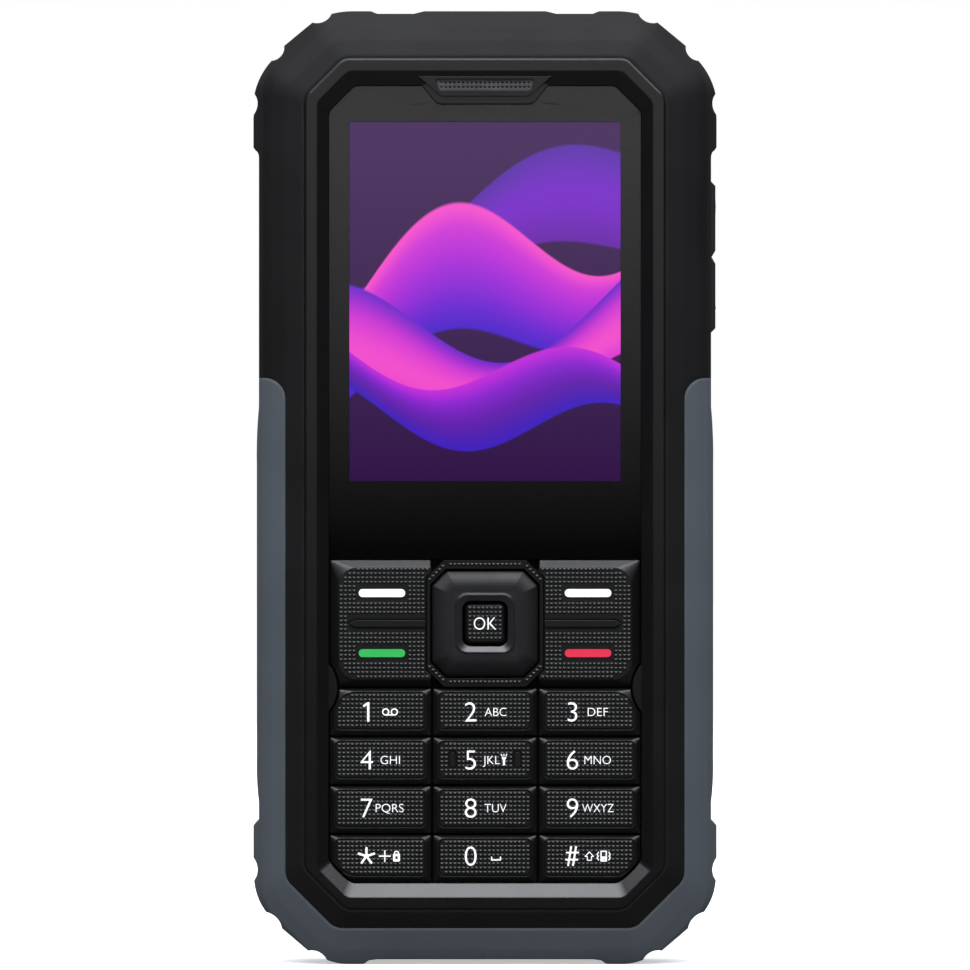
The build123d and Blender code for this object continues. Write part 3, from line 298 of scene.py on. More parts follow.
paper, tree, output = new_finish("floor_paper")
sight = add(tree, "LightPath").outputs["Is Camera Ray"]
speckle = noise(tree, own_place(tree), speckle_size)
pale = blend_colours(tree, speckle, (0.84, 0.84, 0.84, 1), (0.9, 0.9, 0.9, 1))
dull = (0.42, 0.42, 0.43, 1)
black = (0.06, 0.06, 0.06, 1)
mirrored = add(tree, "LightPath").outputs["Is Glossy Ray"]
colour = blend_colours(tree, sight, blend_colours(tree, mirrored, dull, black), pale)
glow = reckon(tree, "MULTIPLY", sight, camera_glow)
white = add(tree, "Emission", {"Color": (1, 1, 1, 1), "Strength": glow})
matt = add(tree, "BsdfDiffuse", {"Color": colour}).outputs[0]
close_finish(tree, output, add(tree, "AddShader", {0: matt, 1: white.outputs[0]}).outputs[0])
floor_mesh.materials.append(paper)
print("floor:", 2 * floor_half, "m wide")

# %% [markdown]
# ## Moulded plastic and rubber
#
# Nearly all of the outside is moulded. What tells one moulding from another is small: how fine the grain
# of the mould is, how wide the sheen, how round the edges and how they rub pale. One recipe takes all
# of these. Two noises vary colour and gloss, a fine one raises the grain, and a bevel node rounds
# the edges for the light. Where the rounded and the true normal differ there is an edge, and wear sits
# there.

# %% Recipe for moulded parts
wear_full_at = 0.86
wear_share = 0.55


def moulded(name, light, dark, rough, grain=0.25, relief=0.006, edge=0.1, worn=None, patch=9.0,
            specular=0.5):
    """Moulded finish. Colours go from 0 to 255; grain, relief, edge and patch are in millimetres."""
    material, tree, output = new_finish(name)
    place = own_place(tree)
    wide = noise(tree, place, patch * MM, 3.0)
    fine = noise(tree, place, grain * MM)
    colour = blend_colours(tree, wide, shade(*dark), shade(*light))
    rounded = soft_edges(tree, edge * MM)
    if worn is not None:
        true_normal = add(tree, "NewGeometry").outputs["Normal"]
        both = {0: rounded, 1: true_normal}
        facing = add(tree, "VectorMath", both, operation="DOT_PRODUCT").outputs["Value"]
        span = {0: facing, 1: 1.0, 2: wear_full_at, 3: 0.0, 4: wear_share}
        at_edge = add(tree, "MapRange", span).outputs[0]
        colour = blend_colours(tree, reckon(tree, "MULTIPLY", at_edge, wide), colour, shade(*worn))
    mixed = reckon(tree, "ADD", reckon(tree, "MULTIPLY", wide, 0.5), reckon(tree, "MULTIPLY", fine, 0.5))
    bump = add(tree, "Bump", {"Height": fine, "Distance": relief * MM, "Normal": rounded}).outputs[0]
    shader = add(tree, "BsdfPrincipled", {"Base Color": colour, "Roughness": swing(tree, mixed, *rough),
                                          "Normal": bump})
    shader.inputs["Specular IOR Level"].default_value = specular
    close_finish(tree, output, shader.outputs[0])
    return material


print("wear covers at most", wear_share, "of an edge")

# %% [markdown]
# ## The moulded parts, one by one
#
# The rubber bumpers are dull and their edges round, the band round the glass is the glossiest part, and
# the keys lie between. The shells and the cover at the back have a coarse grain against scratches. The
# seals are soft red silicone, as seals inside often are, so that a missing one is noticed.

# %% Moulded finishes
shell = dict(light=(46, 46, 49), dark=(38, 38, 41), rough=(0.46, 0.58), grain=0.35, relief=0.03, edge=0.25,
             worn=(82, 82, 86))
moulded_looks = {
    "black_rubber": dict(light=(20, 20, 21), dark=(14, 14, 15), rough=(0.5, 0.64), grain=0.3, relief=0.012,
                         edge=0.7, worn=(56, 57, 60), specular=0.22),
    "grey_rubber": dict(light=(80, 86, 92), dark=(72, 78, 84), rough=(0.5, 0.64), grain=0.3, relief=0.012,
                        edge=0.7, worn=(104, 110, 117), specular=0.3),
    "bezel_plastic": dict(light=(16, 16, 17), dark=(11, 11, 12), rough=(0.2, 0.27), grain=0.16, relief=0.004,
                          edge=0.25, worn=(34, 34, 36)),
    "key_plastic": dict(light=(13, 14, 14), dark=(9, 9, 9), rough=(0.32, 0.4), grain=0.14, relief=0.003,
                        edge=0.12),
    "earpiece_trim": dict(light=(16, 16, 17), dark=(12, 12, 13), rough=(0.34, 0.44), grain=0.12,
                          relief=0.003),
    "shell_plastic": shell,
    "cover_plastic": shell,
    "inner_plastic": dict(light=(40, 40, 42), dark=(32, 32, 34), rough=(0.5, 0.6)),
    "rocker_plastic": dict(light=(38, 38, 41), dark=(30, 30, 33), rough=(0.34, 0.44), edge=0.2,
                           worn=(70, 70, 74)),
    "component_black": dict(light=(36, 36, 38), dark=(26, 26, 28), rough=(0.4, 0.55)),
    "mat_silicone": dict(light=(9, 9, 9), dark=(6, 6, 6), rough=(0.55, 0.7), edge=0.2, specular=0.3),
    "seal_silicone": dict(light=(150, 52, 34), dark=(124, 40, 28), rough=(0.5, 0.65), edge=0.2),
    "foam": dict(light=(44, 44, 44), dark=(26, 26, 26), rough=(0.85, 0.95), grain=0.12, relief=0.05,
                 patch=0.6),
    "battery_wrap": dict(light=(64, 66, 72), dark=(52, 54, 60), rough=(0.3, 0.42), grain=0.5, relief=0.01,
                         edge=0.5, worn=(120, 122, 128)),
}
finishes = {name: moulded(name, **look) for name, look in moulded_looks.items()}
print("moulded finishes:", len(finishes))

# %% [markdown]
# ## The four-way ring
#
# The ring is satin, but its lip round the middle key is polished and paler, as if it were coated, and
# catches the light as a bright line. One piece has one finish, so the finish asks how far a point lies
# from the middle of the ring, measured square, and changes inside the lip's reach.

# %% Satin ring with a polished lip
nav_z = 46.45 * MM
lip_reach = 4.35 * MM
ring_patch = 5 * MM
ring_grain = 0.12 * MM
ring_relief = 0.002 * MM
ring_edge = 0.2 * MM


def ring_finish():
    """Satin black plastic that is polished and paler near the middle key."""
    material, tree, output = new_finish("ring_plastic")
    place = own_place(tree)
    apart = add(tree, "SeparateXYZ", {0: place})
    across = reckon(tree, "ABSOLUTE", apart.outputs[0])
    up = reckon(tree, "ABSOLUTE", reckon(tree, "SUBTRACT", apart.outputs[2], nav_z))
    on_lip = reckon(tree, "LESS_THAN", reckon(tree, "MAXIMUM", across, up), lip_reach)
    wide = noise(tree, place, ring_patch, 3.0)
    fine = noise(tree, place, ring_grain)
    satin = blend_colours(tree, wide, shade(12, 12, 14), shade(17, 17, 19))
    colour = blend_colours(tree, on_lip, satin, shade(34, 34, 38))
    dull, bright = swing(tree, wide, 0.46, 0.54), swing(tree, wide, 0.2, 0.26)
    gloss = add(tree, "Mix", {0: on_lip, 2: dull, 3: bright}, data_type="FLOAT").outputs[0]
    soft = soft_edges(tree, ring_edge)
    bump = add(tree, "Bump", {"Height": fine, "Distance": ring_relief, "Normal": soft})
    shader = add(tree, "BsdfPrincipled", {"Base Color": colour, "Roughness": gloss,
                                          "Normal": bump.outputs[0]})
    close_finish(tree, output, shader.outputs[0])
    return material


finishes["ring_plastic"] = ring_finish()
print("the lip ends", lip_reach / MM, "mm from the middle of the ring")

# %% [markdown]
# ## Sheet metal and contacts
#
# Sheet metal is rolled, so its fine lines run one way: a noise that is squeezed along one axis does
# that. The lines vary colour and gloss alike and raise the surface a little. Contacts are gold, the mesh
# over the earpiece is dark steel and has no direction.

# %% Metals
line_size = 2.4 * MM
line_relief = 0.004 * MM
metal_edge = 0.12 * MM


def metal(name, colour, dark, rough, stretch=(1.0, 1.0, 12.0)):
    """Bare metal with fine lines across the axis that is squeezed."""
    material, tree, output = new_finish(name)
    drawn = add(tree, "Mapping", {"Vector": own_place(tree), "Scale": stretch}).outputs[0]
    lines = noise(tree, drawn, line_size, 4.0)
    tint = blend_colours(tree, lines, dark, colour)
    soft = soft_edges(tree, metal_edge)
    bump = add(tree, "Bump", {"Height": lines, "Distance": line_relief, "Normal": soft})
    shader = add(tree, "BsdfPrincipled", {"Base Color": tint, "Roughness": swing(tree, lines, *rough),
                                          "Normal": bump.outputs[0]})
    shader.inputs["Metallic"].default_value = 1.0
    close_finish(tree, output, shader.outputs[0])
    return material


finishes["steel"] = metal("steel", (0.56, 0.56, 0.57, 1), (0.36, 0.36, 0.37, 1), (0.24, 0.38))
finishes["sheet_metal"] = metal("sheet_metal", (0.68, 0.68, 0.69, 1), (0.5, 0.5, 0.52, 1), (0.3, 0.45))
finishes["contact_metal"] = metal("contact_metal", (0.95, 0.72, 0.34, 1), (0.8, 0.55, 0.22, 1), (0.18, 0.3))
finishes["mesh_metal"] = metal("mesh_metal", (0.16, 0.16, 0.17, 1), (0.1, 0.1, 0.11, 1), (0.35, 0.5),
                               stretch=(1.0, 1.0, 1.0))
print("finishes so far:", len(finishes))

# %% [markdown]
# ## Film and circuit board
#
# Flexible film is amber and glossy, with copper lines under it: a wave pattern along one axis. The
# circuit board is green lacquer over copper tracks. A brick pattern stands for the tracks, and the
# middles of random cells stand for the round gold pads.

# %% Film
film_lines = 0.35 / MM


def film():
    """Amber flexible film with copper lines under it."""
    material, tree, output = new_finish("flex_film")
    lines = add(tree, "TexWave", {"Vector": own_place(tree), "Scale": film_lines, "Distortion": 0.0},
                bands_direction="X").outputs[1]
    colour = blend_colours(tree, lines, shade(150, 96, 26), shade(196, 128, 46))
    shader = add(tree, "BsdfPrincipled", {"Base Color": colour, "Roughness": 0.28})
    shader.inputs["Coat Weight"].default_value = 0.4
    close_finish(tree, output, shader.outputs[0])
    return material


finishes["flex_film"] = film()
print("finishes with the film:", len(finishes))

# %% Circuit board
track_scale = 0.25 / MM
track_gap = 0.03
pad_scale = 0.45 / MM
pad_radius = 0.16


def board():
    """Green lacquer with lighter tracks and small gold pads."""
    material, tree, output = new_finish("circuit_board")
    place = own_place(tree)
    flat = add(tree, "Mapping", {"Vector": place, "Rotation": (math.radians(90), 0, 0)}).outputs[0]
    tracks = add(tree, "TexBrick", {"Vector": flat, "Scale": track_scale, "Mortar Size": track_gap,
                                    "Color1": (1, 1, 1, 1), "Color2": (0.7, 0.7, 0.7, 1),
                                    "Mortar": (0, 0, 0, 1)}).outputs[0]
    from_pad = add(tree, "TexVoronoi", {"Vector": place, "Scale": pad_scale}).outputs["Distance"]
    green = blend_colours(tree, tracks, shade(24, 96, 60), shade(12, 62, 40))
    colour = blend_colours(tree, reckon(tree, "LESS_THAN", from_pad, pad_radius), green, shade(214, 170, 88))
    shader = add(tree, "BsdfPrincipled", {"Base Color": colour, "Roughness": 0.3})
    close_finish(tree, output, shader.outputs[0])
    return material


finishes["circuit_board"] = board()
print("finishes with the board:", len(finishes))

# %% [markdown]
# ## Glass
#
# The cover glass is clear: it shows the black print behind it and the lit picture. Over the camera the
# glass is smoky. Gloss is mixed over clearness by the Fresnel share, and only where light meets the
# glass from outside: from inside, that share would stop the light that should reach the print. Seen
# squarely, glass mirrors four parts in a hundred. So small a share is taken by few samples and stays
# grainy, so it is left out here and given to the glossy layers that lie against the glass.

# %% Clear parts
glass_index = 1.49
smudge_size = 7 * MM
smudge_low = 0.4
smudge_high = 0.8


def smudged(tree, pattern, clean, greasy):
    """Roughness that rises from clean to greasy where fingers have been."""
    return add(tree, "MapRange", {0: pattern, 1: smudge_low, 2: smudge_high, 3: clean, 4: greasy}).outputs[0]


def clear(name, colour, rough, square_share=0.0):
    """See-through part: a tint to look through and over it a gloss with faint smudges."""
    material, tree, output = new_finish(name)
    smudges = noise(tree, own_place(tree), smudge_size, 3.0)
    front_only = reckon(tree, "SUBTRACT", 1.0, add(tree, "NewGeometry").outputs["Backfacing"])
    share = add(tree, "Fresnel", {"IOR": glass_index}).outputs[0]
    mirrored = reckon(tree, "MULTIPLY", reckon(tree, "SUBTRACT", share, square_share, clamp=True), front_only)
    through = add(tree, "BsdfTransparent", {"Color": colour}).outputs[0]
    gloss = add(tree, "BsdfAnisotropic", {"Roughness": smudged(tree, smudges, rough, 4 * rough)}).outputs[0]
    close_finish(tree, output, add(tree, "MixShader", {0: mirrored, 1: through, 2: gloss}).outputs[0])
    return material


finishes["cover_glass"] = clear("cover_glass", (1, 1, 1, 1), 0.015, square_share=0.042)
finishes["camera_glass"] = clear("camera_glass", (0.5, 0.52, 0.56, 1), 0.02)
print("finishes with the clear parts:", len(finishes))

# %% [markdown]
# ## Lamp lenses
#
# The lens of the flash lamp and the light guide of the torch are milky, so light spreads in them. A cloudy
# colour and gloss under a clear coat keep them from looking painted.

# %% Milky parts
cloud_size = 0.8 * MM
cloud_rough = 0.12


def milky(name, colour, deep, rough):
    """Milky lamp part with a cloudy inside."""
    material, tree, output = new_finish(name)
    cloud = noise(tree, own_place(tree), cloud_size, 3.0)
    tint = blend_colours(tree, cloud, deep, colour)
    gloss = swing(tree, cloud, rough, rough + cloud_rough)
    shader = add(tree, "BsdfPrincipled", {"Base Color": tint, "Roughness": gloss})
    shader.inputs["Coat Weight"].default_value = 0.6
    close_finish(tree, output, shader.outputs[0])
    return material


finishes["lamp_lens"] = milky("lamp_lens", shade(250, 236, 170), shade(226, 196, 96), 0.25)
finishes["torch_guide"] = milky("torch_guide", shade(236, 240, 244), shade(206, 212, 220), 0.2)
print("finishes with the lamp parts:", len(finishes))

# %% [markdown]
# ## Print behind the glass
#
# The border round the picture is black print on the back of the glass. Close up, screen print is a
# film of ink with a faint mesh, so its blackness and its gloss vary a little. Against the glass it is
# as smooth as the glass, so the card shows in it as a grey veil.

# %% Black print
glass_specular = 0.5
mesh_size = 0.12 * MM


def screen_print():
    """Black ink with the faint mesh of the screen it was printed through."""
    material, tree, output = new_finish("mask_print")
    dots = add(tree, "TexVoronoi", {"Vector": own_place(tree), "Scale": 1 / mesh_size}).outputs["Distance"]
    colour = blend_colours(tree, dots, shade(4, 4, 5), shade(9, 9, 10))
    gloss = add(tree, "MapRange", {0: dots, 3: 0.02, 4: 0.05}).outputs[0]
    shader = add(tree, "BsdfPrincipled", {"Base Color": colour, "Roughness": gloss})
    shader.inputs["Specular IOR Level"].default_value = glass_specular
    close_finish(tree, output, shader.outputs[0])
    return material


finishes["mask_print"] = screen_print()
print("finishes with the black print:", len(finishes))

# %% [markdown]
# ## The lit picture
#
# The phone shows a plain wallpaper of its own: satin bands that wave across a violet ground. A band is
# the set of points near a sine line, so two sums give its middle and its width at any place, and a
# ramp across it gives the sheen. The screen gives out light, so the picture is an emission.

# %% Waves and bands
window_low_z = 65.96 * MM
window_high_z = 114.72 * MM
window_half = 18.36 * MM
band_blur = 0.05


def wave(tree, across, level, rise, turns, phase, slope):
    """Height of a waving line at a place across the screen."""
    angle = reckon(tree, "ADD", reckon(tree, "MULTIPLY", across, turns), phase)
    lifted = reckon(tree, "MULTIPLY", reckon(tree, "SINE", angle), rise)
    leaning = reckon(tree, "MULTIPLY", across, slope)
    return reckon(tree, "ADD", reckon(tree, "ADD", lifted, leaning), level)


def band(tree, under, across, up, line, half, colours):
    """One satin band over what lies under it: its middle line, its half width and its colours."""
    centre = wave(tree, across, *line)
    width = wave(tree, across, *half)
    offset = reckon(tree, "DIVIDE", reckon(tree, "SUBTRACT", up, centre), width)
    share = reckon(tree, "ADD", reckon(tree, "MULTIPLY", offset, 0.5), 0.5)
    ramp = add(tree, "ValToRGB", {0: share})
    ramp.color_ramp.interpolation = "B_SPLINE"
    marks = ramp.color_ramp.elements
    marks[0].position, marks[0].color = colours[0]
    marks[1].position, marks[1].color = colours[-1]
    for position, colour in colours[1:-1]:
        marks.new(position).color = colour
    from_edge = reckon(tree, "SUBTRACT", 1.0, reckon(tree, "ABSOLUTE", offset))
    cover = add(tree, "MapRange", {0: from_edge, 2: band_blur}).outputs[0]
    return blend_colours(tree, cover, under, ramp.outputs[0])


print("picture:", round(2 * window_half / MM, 1), "by", round((window_high_z - window_low_z) / MM, 1), "mm")

# %% [markdown]
# ## The bands of this wallpaper
#
# Each band is given by two waves, one for its middle and one for its half width: level, rise, turns,
# phase and slope. Its colours follow, from its lower edge to its upper one. The first band lies deepest.

# %% Wallpaper of waving bands
blue, violet = shade(44, 22, 196), shade(128, 22, 214)
magenta, pink = shade(206, 38, 214), shade(255, 84, 196)
plum, dusk = shade(92, 16, 150), shade(70, 34, 150)
bands = (
    ((0.66, 0.09, 2.3, 0.6, 0.10), (0.10, 0.04, 1.7, 0.2, 0.0),
     ((0.0, plum), (0.5, violet), (1.0, dusk))),
    ((0.5, 0.13, 2.6, 2.4, 0.12), (0.13, 0.05, 2.1, 2.0, 0.0),
     ((0.0, blue), (0.35, violet), (0.8, magenta), (1.0, pink))),
    ((0.37, 0.11, 2.2, 4.4, 0.05), (0.10, 0.04, 2.4, 4.0, 0.0),
     ((0.0, magenta), (0.3, pink), (0.7, magenta), (1.0, blue))),
    ((0.24, 0.08, 2.8, 5.6, -0.04), (0.08, 0.03, 2.9, 1.0, 0.0),
     ((0.0, blue), (0.4, plum), (0.75, violet), (1.0, magenta))),
)


def wallpaper():
    """Violet ground with the bands over it, behind glass with smudges."""
    material, tree, output = new_finish("display_picture")
    place = own_place(tree)
    apart = add(tree, "SeparateXYZ", {0: place})
    across = reckon(tree, "DIVIDE", apart.outputs[0], window_half)
    height = add(tree, "MapRange", {0: apart.outputs[2], 1: window_low_z, 2: window_high_z}, clamp=False)
    up = height.outputs[0]
    seen = blend_colours(tree, up, shade(44, 4, 68), shade(58, 12, 84))
    for line, half, colours in bands:
        seen = band(tree, seen, across, up, line, half, colours)
    gloss = smudged(tree, noise(tree, place, smudge_size), 0.015, 0.05)
    shader = add(tree, "BsdfPrincipled", {"Emission Color": seen, "Roughness": gloss})
    shader.inputs["Base Color"].default_value = (0, 0, 0, 1)
    shader.inputs["Emission Strength"].default_value = 1.0
    shader.inputs["Specular IOR Level"].default_value = glass_specular
    close_finish(tree, output, shader.outputs[0])
    return material


finishes["display_picture"] = wallpaper()
print("bands:", len(bands), "finishes:", len(finishes))

# %% [markdown]
# ## Hand out the finishes
#
# The record names a finish for every piece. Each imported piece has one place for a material, which now
# gets the finish of that name.

# %% Give every piece its finish
for part in frame["record"]["subparts"]:
    mesh = frame["nodes"][part["node"]].data
    mesh.materials.clear()
    mesh.materials.append(finishes[part["material_slot"]])

# %% [markdown]
# ## Pieces of our own
#
# What is too fine for the solids is added as a mesh: knurl, print and small marks. Each new piece rides
# on the body whose solid it sits on, so it moves with a pressed key. It takes the finish of a slot, or a
# finish of its own.

# %% Helper for new pieces
def new_piece(name, shaper, body, slot, finish=None):
    """Object from a mesh in the making, riding on a body, with the finish of its slot or its own."""
    mesh = bpy.data.meshes.new(name)
    shaper.to_mesh(mesh)
    shaper.free()
    mesh.materials.append(finish or finishes[slot])
    piece = bpy.data.objects.new(name, mesh)
    scene.collection.objects.link(piece)
    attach(piece, body)


print("finishes to choose from:", len(finishes))

# %% [markdown]
# ## Knurl on the keys
#
# The keys carry rows of tiny four-sided points that keep a gloved finger from slipping. Only their
# upper faces catch the light, which is why they look like small bright triangles. A bump pattern would
# look flat from the side, so they are real points. Each is a cone with four sides, sunk a little into
# the key. A few thousand of them stay light, because each has five faces.

# %% Raise the knurl
knurl_pitch = 0.585 * MM
knurl_half = 0.27 * MM
knurl_height = 0.135 * MM
knurl_foot = 0.03 * MM
point_weld = 0.0001 * MM
touch_size = 2.5 * MM
key_top = -7.3 * MM
face_front = Matrix.Rotation(math.radians(90), 4, "X")
square_up = Matrix.Rotation(math.radians(45), 4, "Z")


def point_finish():
    """Black plastic of the points: sharp edges, glossier where fingers have polished it."""
    material, tree, output = new_finish("knurl_plastic")
    touched = noise(tree, own_place(tree), touch_size)
    colour = blend_colours(tree, touched, shade(10, 11, 11), shade(18, 19, 19))
    gloss = swing(tree, touched, 0.43, 0.35)
    shader = add(tree, "BsdfPrincipled", {"Base Color": colour, "Roughness": gloss})
    close_finish(tree, output, shader.outputs[0])
    return material


knurl_plastic = point_finish()


def knurl(name, spots, surface, body):
    """Field of four-sided points on a front surface."""
    shaper = bmesh.new()
    tall = knurl_height + knurl_foot
    for x, z in spots:
        place = Matrix.Translation((x, surface + knurl_foot - tall / 2, z))
        bmesh.ops.create_cone(shaper, cap_ends=True, segments=4, radius1=knurl_half * math.sqrt(2),
                              radius2=0, depth=tall, matrix=place @ face_front @ square_up)
    bmesh.ops.remove_doubles(shaper, verts=shaper.verts, dist=point_weld)
    new_piece(name, shaper, body, "key_plastic", knurl_plastic)


print("points are", knurl_height / MM, "mm high")

# %% Places for the points
corner_inset = 0.23 * MM
column_slack = 0.1
row_slack = 0.35


def grid(low_x, high_x, low_z, high_z):
    """Places of a knurl field that fills a rectangle, in even steps about its middle."""
    columns = int((high_x - low_x) / knurl_pitch + column_slack)
    rows = int((high_z - low_z) / knurl_pitch + row_slack)
    centre_x, centre_z = (low_x + high_x) / 2, (low_z + high_z) / 2
    return [(centre_x + (column - (columns - 1) / 2) * knurl_pitch,
             centre_z + (row - (rows - 1) / 2) * knurl_pitch)
            for row in range(rows) for column in range(columns)]


def off_corner(x, z, corner_x, corner_z, radius):
    """True if a place keeps clear of a corner that is rounded by a radius."""
    aside, above = radius - abs(x - corner_x), radius - abs(z - corner_z)
    return aside <= 0 or above <= 0 or math.hypot(aside, above) < radius - corner_inset


print("pitch of the knurl in mm:", knurl_pitch / MM)

# %% [markdown]
# ## The number keys
#
# The knurl fills the flat pad inside each key's groove. The pads of the four keys at the corners of the
# field have one large round corner. On the middle key two smooth ovals are left free: they mark it for
# the finger. A grid is laid over each pad, and points that would hang over a round corner or lie in an
# oval are left out. That is simpler than fitting the rows to every outline.

# %% Knurl the number keys
pad_side = 0.9 * MM
pad_above = 0.65 * MM
pad_below = 0.98 * MM
small_round = 0.6 * MM
large_round = 2.7 * MM
mark_x = 4.42 * MM
mark_clear = (0.82 * MM, 1.4 * MM)
key_rows = (("1", "2", "3"), ("4", "5", "6"), ("7", "8", "9"), ("star", "0", "hash"))


def number_pad(sign):
    """Flat pad of a number key inside its groove: low and high corner."""
    low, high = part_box("key_" + sign)
    return (low.x + pad_side, low.z + pad_below), (high.x - pad_side, high.z - pad_above)


def number_spots(sign, row, column):
    """Knurl places of a number key, without its corners and the marks on the middle key."""
    (low_x, low_z), (high_x, high_z) = number_pad(sign)
    middle_z = (low_z + high_z) / 2
    spots = []
    for x, z in grid(low_x, high_x, low_z, high_z):
        left, upper = x < (low_x + high_x) / 2, z > middle_z
        corner_x = low_x if left else high_x
        corner_z = high_z if upper else low_z
        outer = (column == 0 and left) or (column == 2 and not left)
        radius = large_round if outer and ((row == 0 and upper) or (row == 3 and not upper)) else small_round
        on_mark = sign == "5" and abs(abs(x) - mark_x) < mark_clear[0] and abs(z - middle_z) < mark_clear[1]
        if off_corner(x, z, corner_x, corner_z, radius) and not on_mark:
            spots.append((x, z))
    return spots


points = 0
for row, signs in enumerate(key_rows):
    for column, sign in enumerate(signs):
        spots = number_spots(sign, row, column)
        points += len(spots)
        knurl("knurl_" + sign, spots, key_top, "button_" + sign)
print("points on the number keys:", points)

# %% [markdown]
# ## The function keys
#
# Each of the two wide keys has a rib across its middle and a coloured bar above and below it. The
# knurl leaves a smooth border round all three. Towards the ring the key is cut off at a slant, and the
# rows end there too. The same kind of grid serves, less what lies on rib, bars and slant. The left key
# mirrors the right one, so its places only change their side.

# %% Knurl the function keys
function_inner = 7.6 * MM
function_outer = 19.85 * MM
function_low = 38.9 * MM
function_high = 54.0 * MM
function_round = 2.5 * MM
inner_side = 8.42 * MM
slant_reach = 14.8 * MM
rib_clear = 0.9 * MM
rib_end = 18.75 * MM
bar_left = 10.86 * MM
bar_right = 17.19 * MM
bar_half = 0.545 * MM
bar_heights = (50.6 * MM, 42.42 * MM)
bar_clear = 0.42 * MM


def function_spots(side):
    """Knurl places of a function key, clear of its rib and its two bars, inside its slanted outline."""
    spots = []
    for x, z in grid(function_inner, function_outer, function_low, function_high):
        corner_z = function_high if z > nav_z else function_low
        on_rib = abs(z - nav_z) < rib_clear and x < rib_end
        on_bar = any(abs(z - level) < bar_half + bar_clear for level in bar_heights)
        on_bar = on_bar and bar_left - bar_clear < x < bar_right + bar_clear
        inside = x > inner_side or x + abs(z - nav_z) > slant_reach
        rounded = off_corner(x, z, function_outer, corner_z, function_round)
        if inside and rounded and not on_rib and not on_bar:
            spots.append((side * x, z))
    return spots


knurl("knurl_left_function", function_spots(-1), key_top, "left_function_rocker")
knurl("knurl_right_function", function_spots(1), key_top, "right_function_rocker")
print("points on each function key:", len(function_spots(1)))

# %% [markdown]
# ## The middle key and the frame of the ring
#
# The middle key is knurled up to its rim. Round the ring lies a narrow fixed frame, duller than the keys,
# with a single row of points along its upper and lower edge and down its four slants. A row is no
# field, so its places are listed: even steps along the edges, and steps between two ends of a slant.

# %% Knurl the middle key and the frame of the ring
ok_low, ok_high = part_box("ok_key")
ok_rim = 0.34 * MM
knurl("knurl_ok", grid(ok_low.x + ok_rim, ok_high.x - ok_rim, ok_low.z + ok_rim, ok_high.z - ok_rim),
      ok_low.y, "ok_button")

frame["nodes"]["nav_surround"].data.materials[0] = moulded(
    "surround_plastic", (7, 7, 7), (4, 4, 4), (0.5, 0.6), grain=0.14, relief=0.003, specular=0.3)
surround_low, surround_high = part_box("nav_surround")
strip_middle = 0.6 * MM
strip_half = 4.9 * MM
strip_count = int(strip_half / knurl_pitch)
strip = [(step * knurl_pitch, nav_z + side * (surround_high.z - nav_z - strip_middle))
         for side in (-1, 1) for step in range(-strip_count, strip_count + 1)]
slant_start = Vector((5.45, 8.0)) * MM
slant_end = Vector((7.7, 5.78)) * MM
slant_count = 5
slant_shift = 0.6
for step in range(slant_count):
    x, up = slant_start.lerp(slant_end, (step + slant_shift) / slant_count)
    strip += [(across * x, nav_z + side * up) for across in (-1, 1) for side in (-1, 1)]
knurl("knurl_surround", strip, surround_low.y, "phone")
print("points on the ring's frame:", len(strip))

# %% [markdown]
# ## Ink
#
# The print on the keys is thick ink with fine pores. It glows faintly, as the print of a lit keypad
# does: white for signs and letters, green and red for the two bars that take and end a call. The glow
# is a little emission in the ink's own colour. A lamp under each key would light the plastic too.

# %% Inks
pore_size = 0.15 * MM
pore_shade = 0.88
pore_relief = 0.004 * MM
ink_rough = 0.45


def ink(name, colour, glow):
    """Thick printed ink, slightly glowing as a lit keypad does."""
    material, tree, output = new_finish(name)
    pores = noise(tree, own_place(tree), pore_size)
    duller = tuple(part * pore_shade for part in colour[:3]) + (1.0,)
    tint = blend_colours(tree, pores, duller, colour)
    bump = add(tree, "Bump", {"Height": pores, "Distance": pore_relief})
    shader = add(tree, "BsdfPrincipled", {"Base Color": tint, "Roughness": ink_rough, "Emission Color": tint,
                                          "Normal": bump.outputs[0]})
    shader.inputs["Emission Strength"].default_value = glow
    close_finish(tree, output, shader.outputs[0])
    return material


inks = {
    "white": ink("ink_white", shade(250, 250, 250), 0.4),
    "green": ink("ink_green", shade(46, 184, 84), 0.2),
    "red": ink("ink_red", shade(226, 42, 74), 0.2),
}
print("inks:", list(inks))

# %% [markdown]
# ## Letters as solid shapes
#
# Digits and letters come from Blender's own font. A text is turned into a mesh, centred, scaled so that
# its capitals have the printed height, and stood against the key. It is thick enough to cover the knurl
# and made a little thinner in its lines than the font draws it.

# %% Text as a mesh
print_gap = 0.02 * MM
ink_back = key_top + print_gap
ink_front = key_top - knurl_height - print_gap
print_thinner = 0.012
letter_curve_steps = 6


def flat_text(text, thinner=0.0):
    """Text as a mesh, one unit thick, in the font's own size."""
    curve = bpy.data.curves.new("text", "FONT")
    curve.body = text
    curve.extrude = 0.5
    curve.offset = -thinner
    curve.resolution_u = letter_curve_steps
    holder = bpy.data.objects.new("text", curve)
    scene.collection.objects.link(holder)
    mesh = bpy.data.meshes.new_from_object(holder.evaluated_get(bpy.context.evaluated_depsgraph_get()))
    bpy.data.objects.remove(holder)
    bpy.data.curves.remove(curve)
    return mesh


def reach(mesh, axis):
    """Lowest and highest value of a mesh along an axis."""
    values = [point.co[axis] for point in mesh.vertices]
    return min(values), max(values)


capital = flat_text("H")
capital_low, capital_high = reach(capital, 1)
bpy.data.meshes.remove(capital)


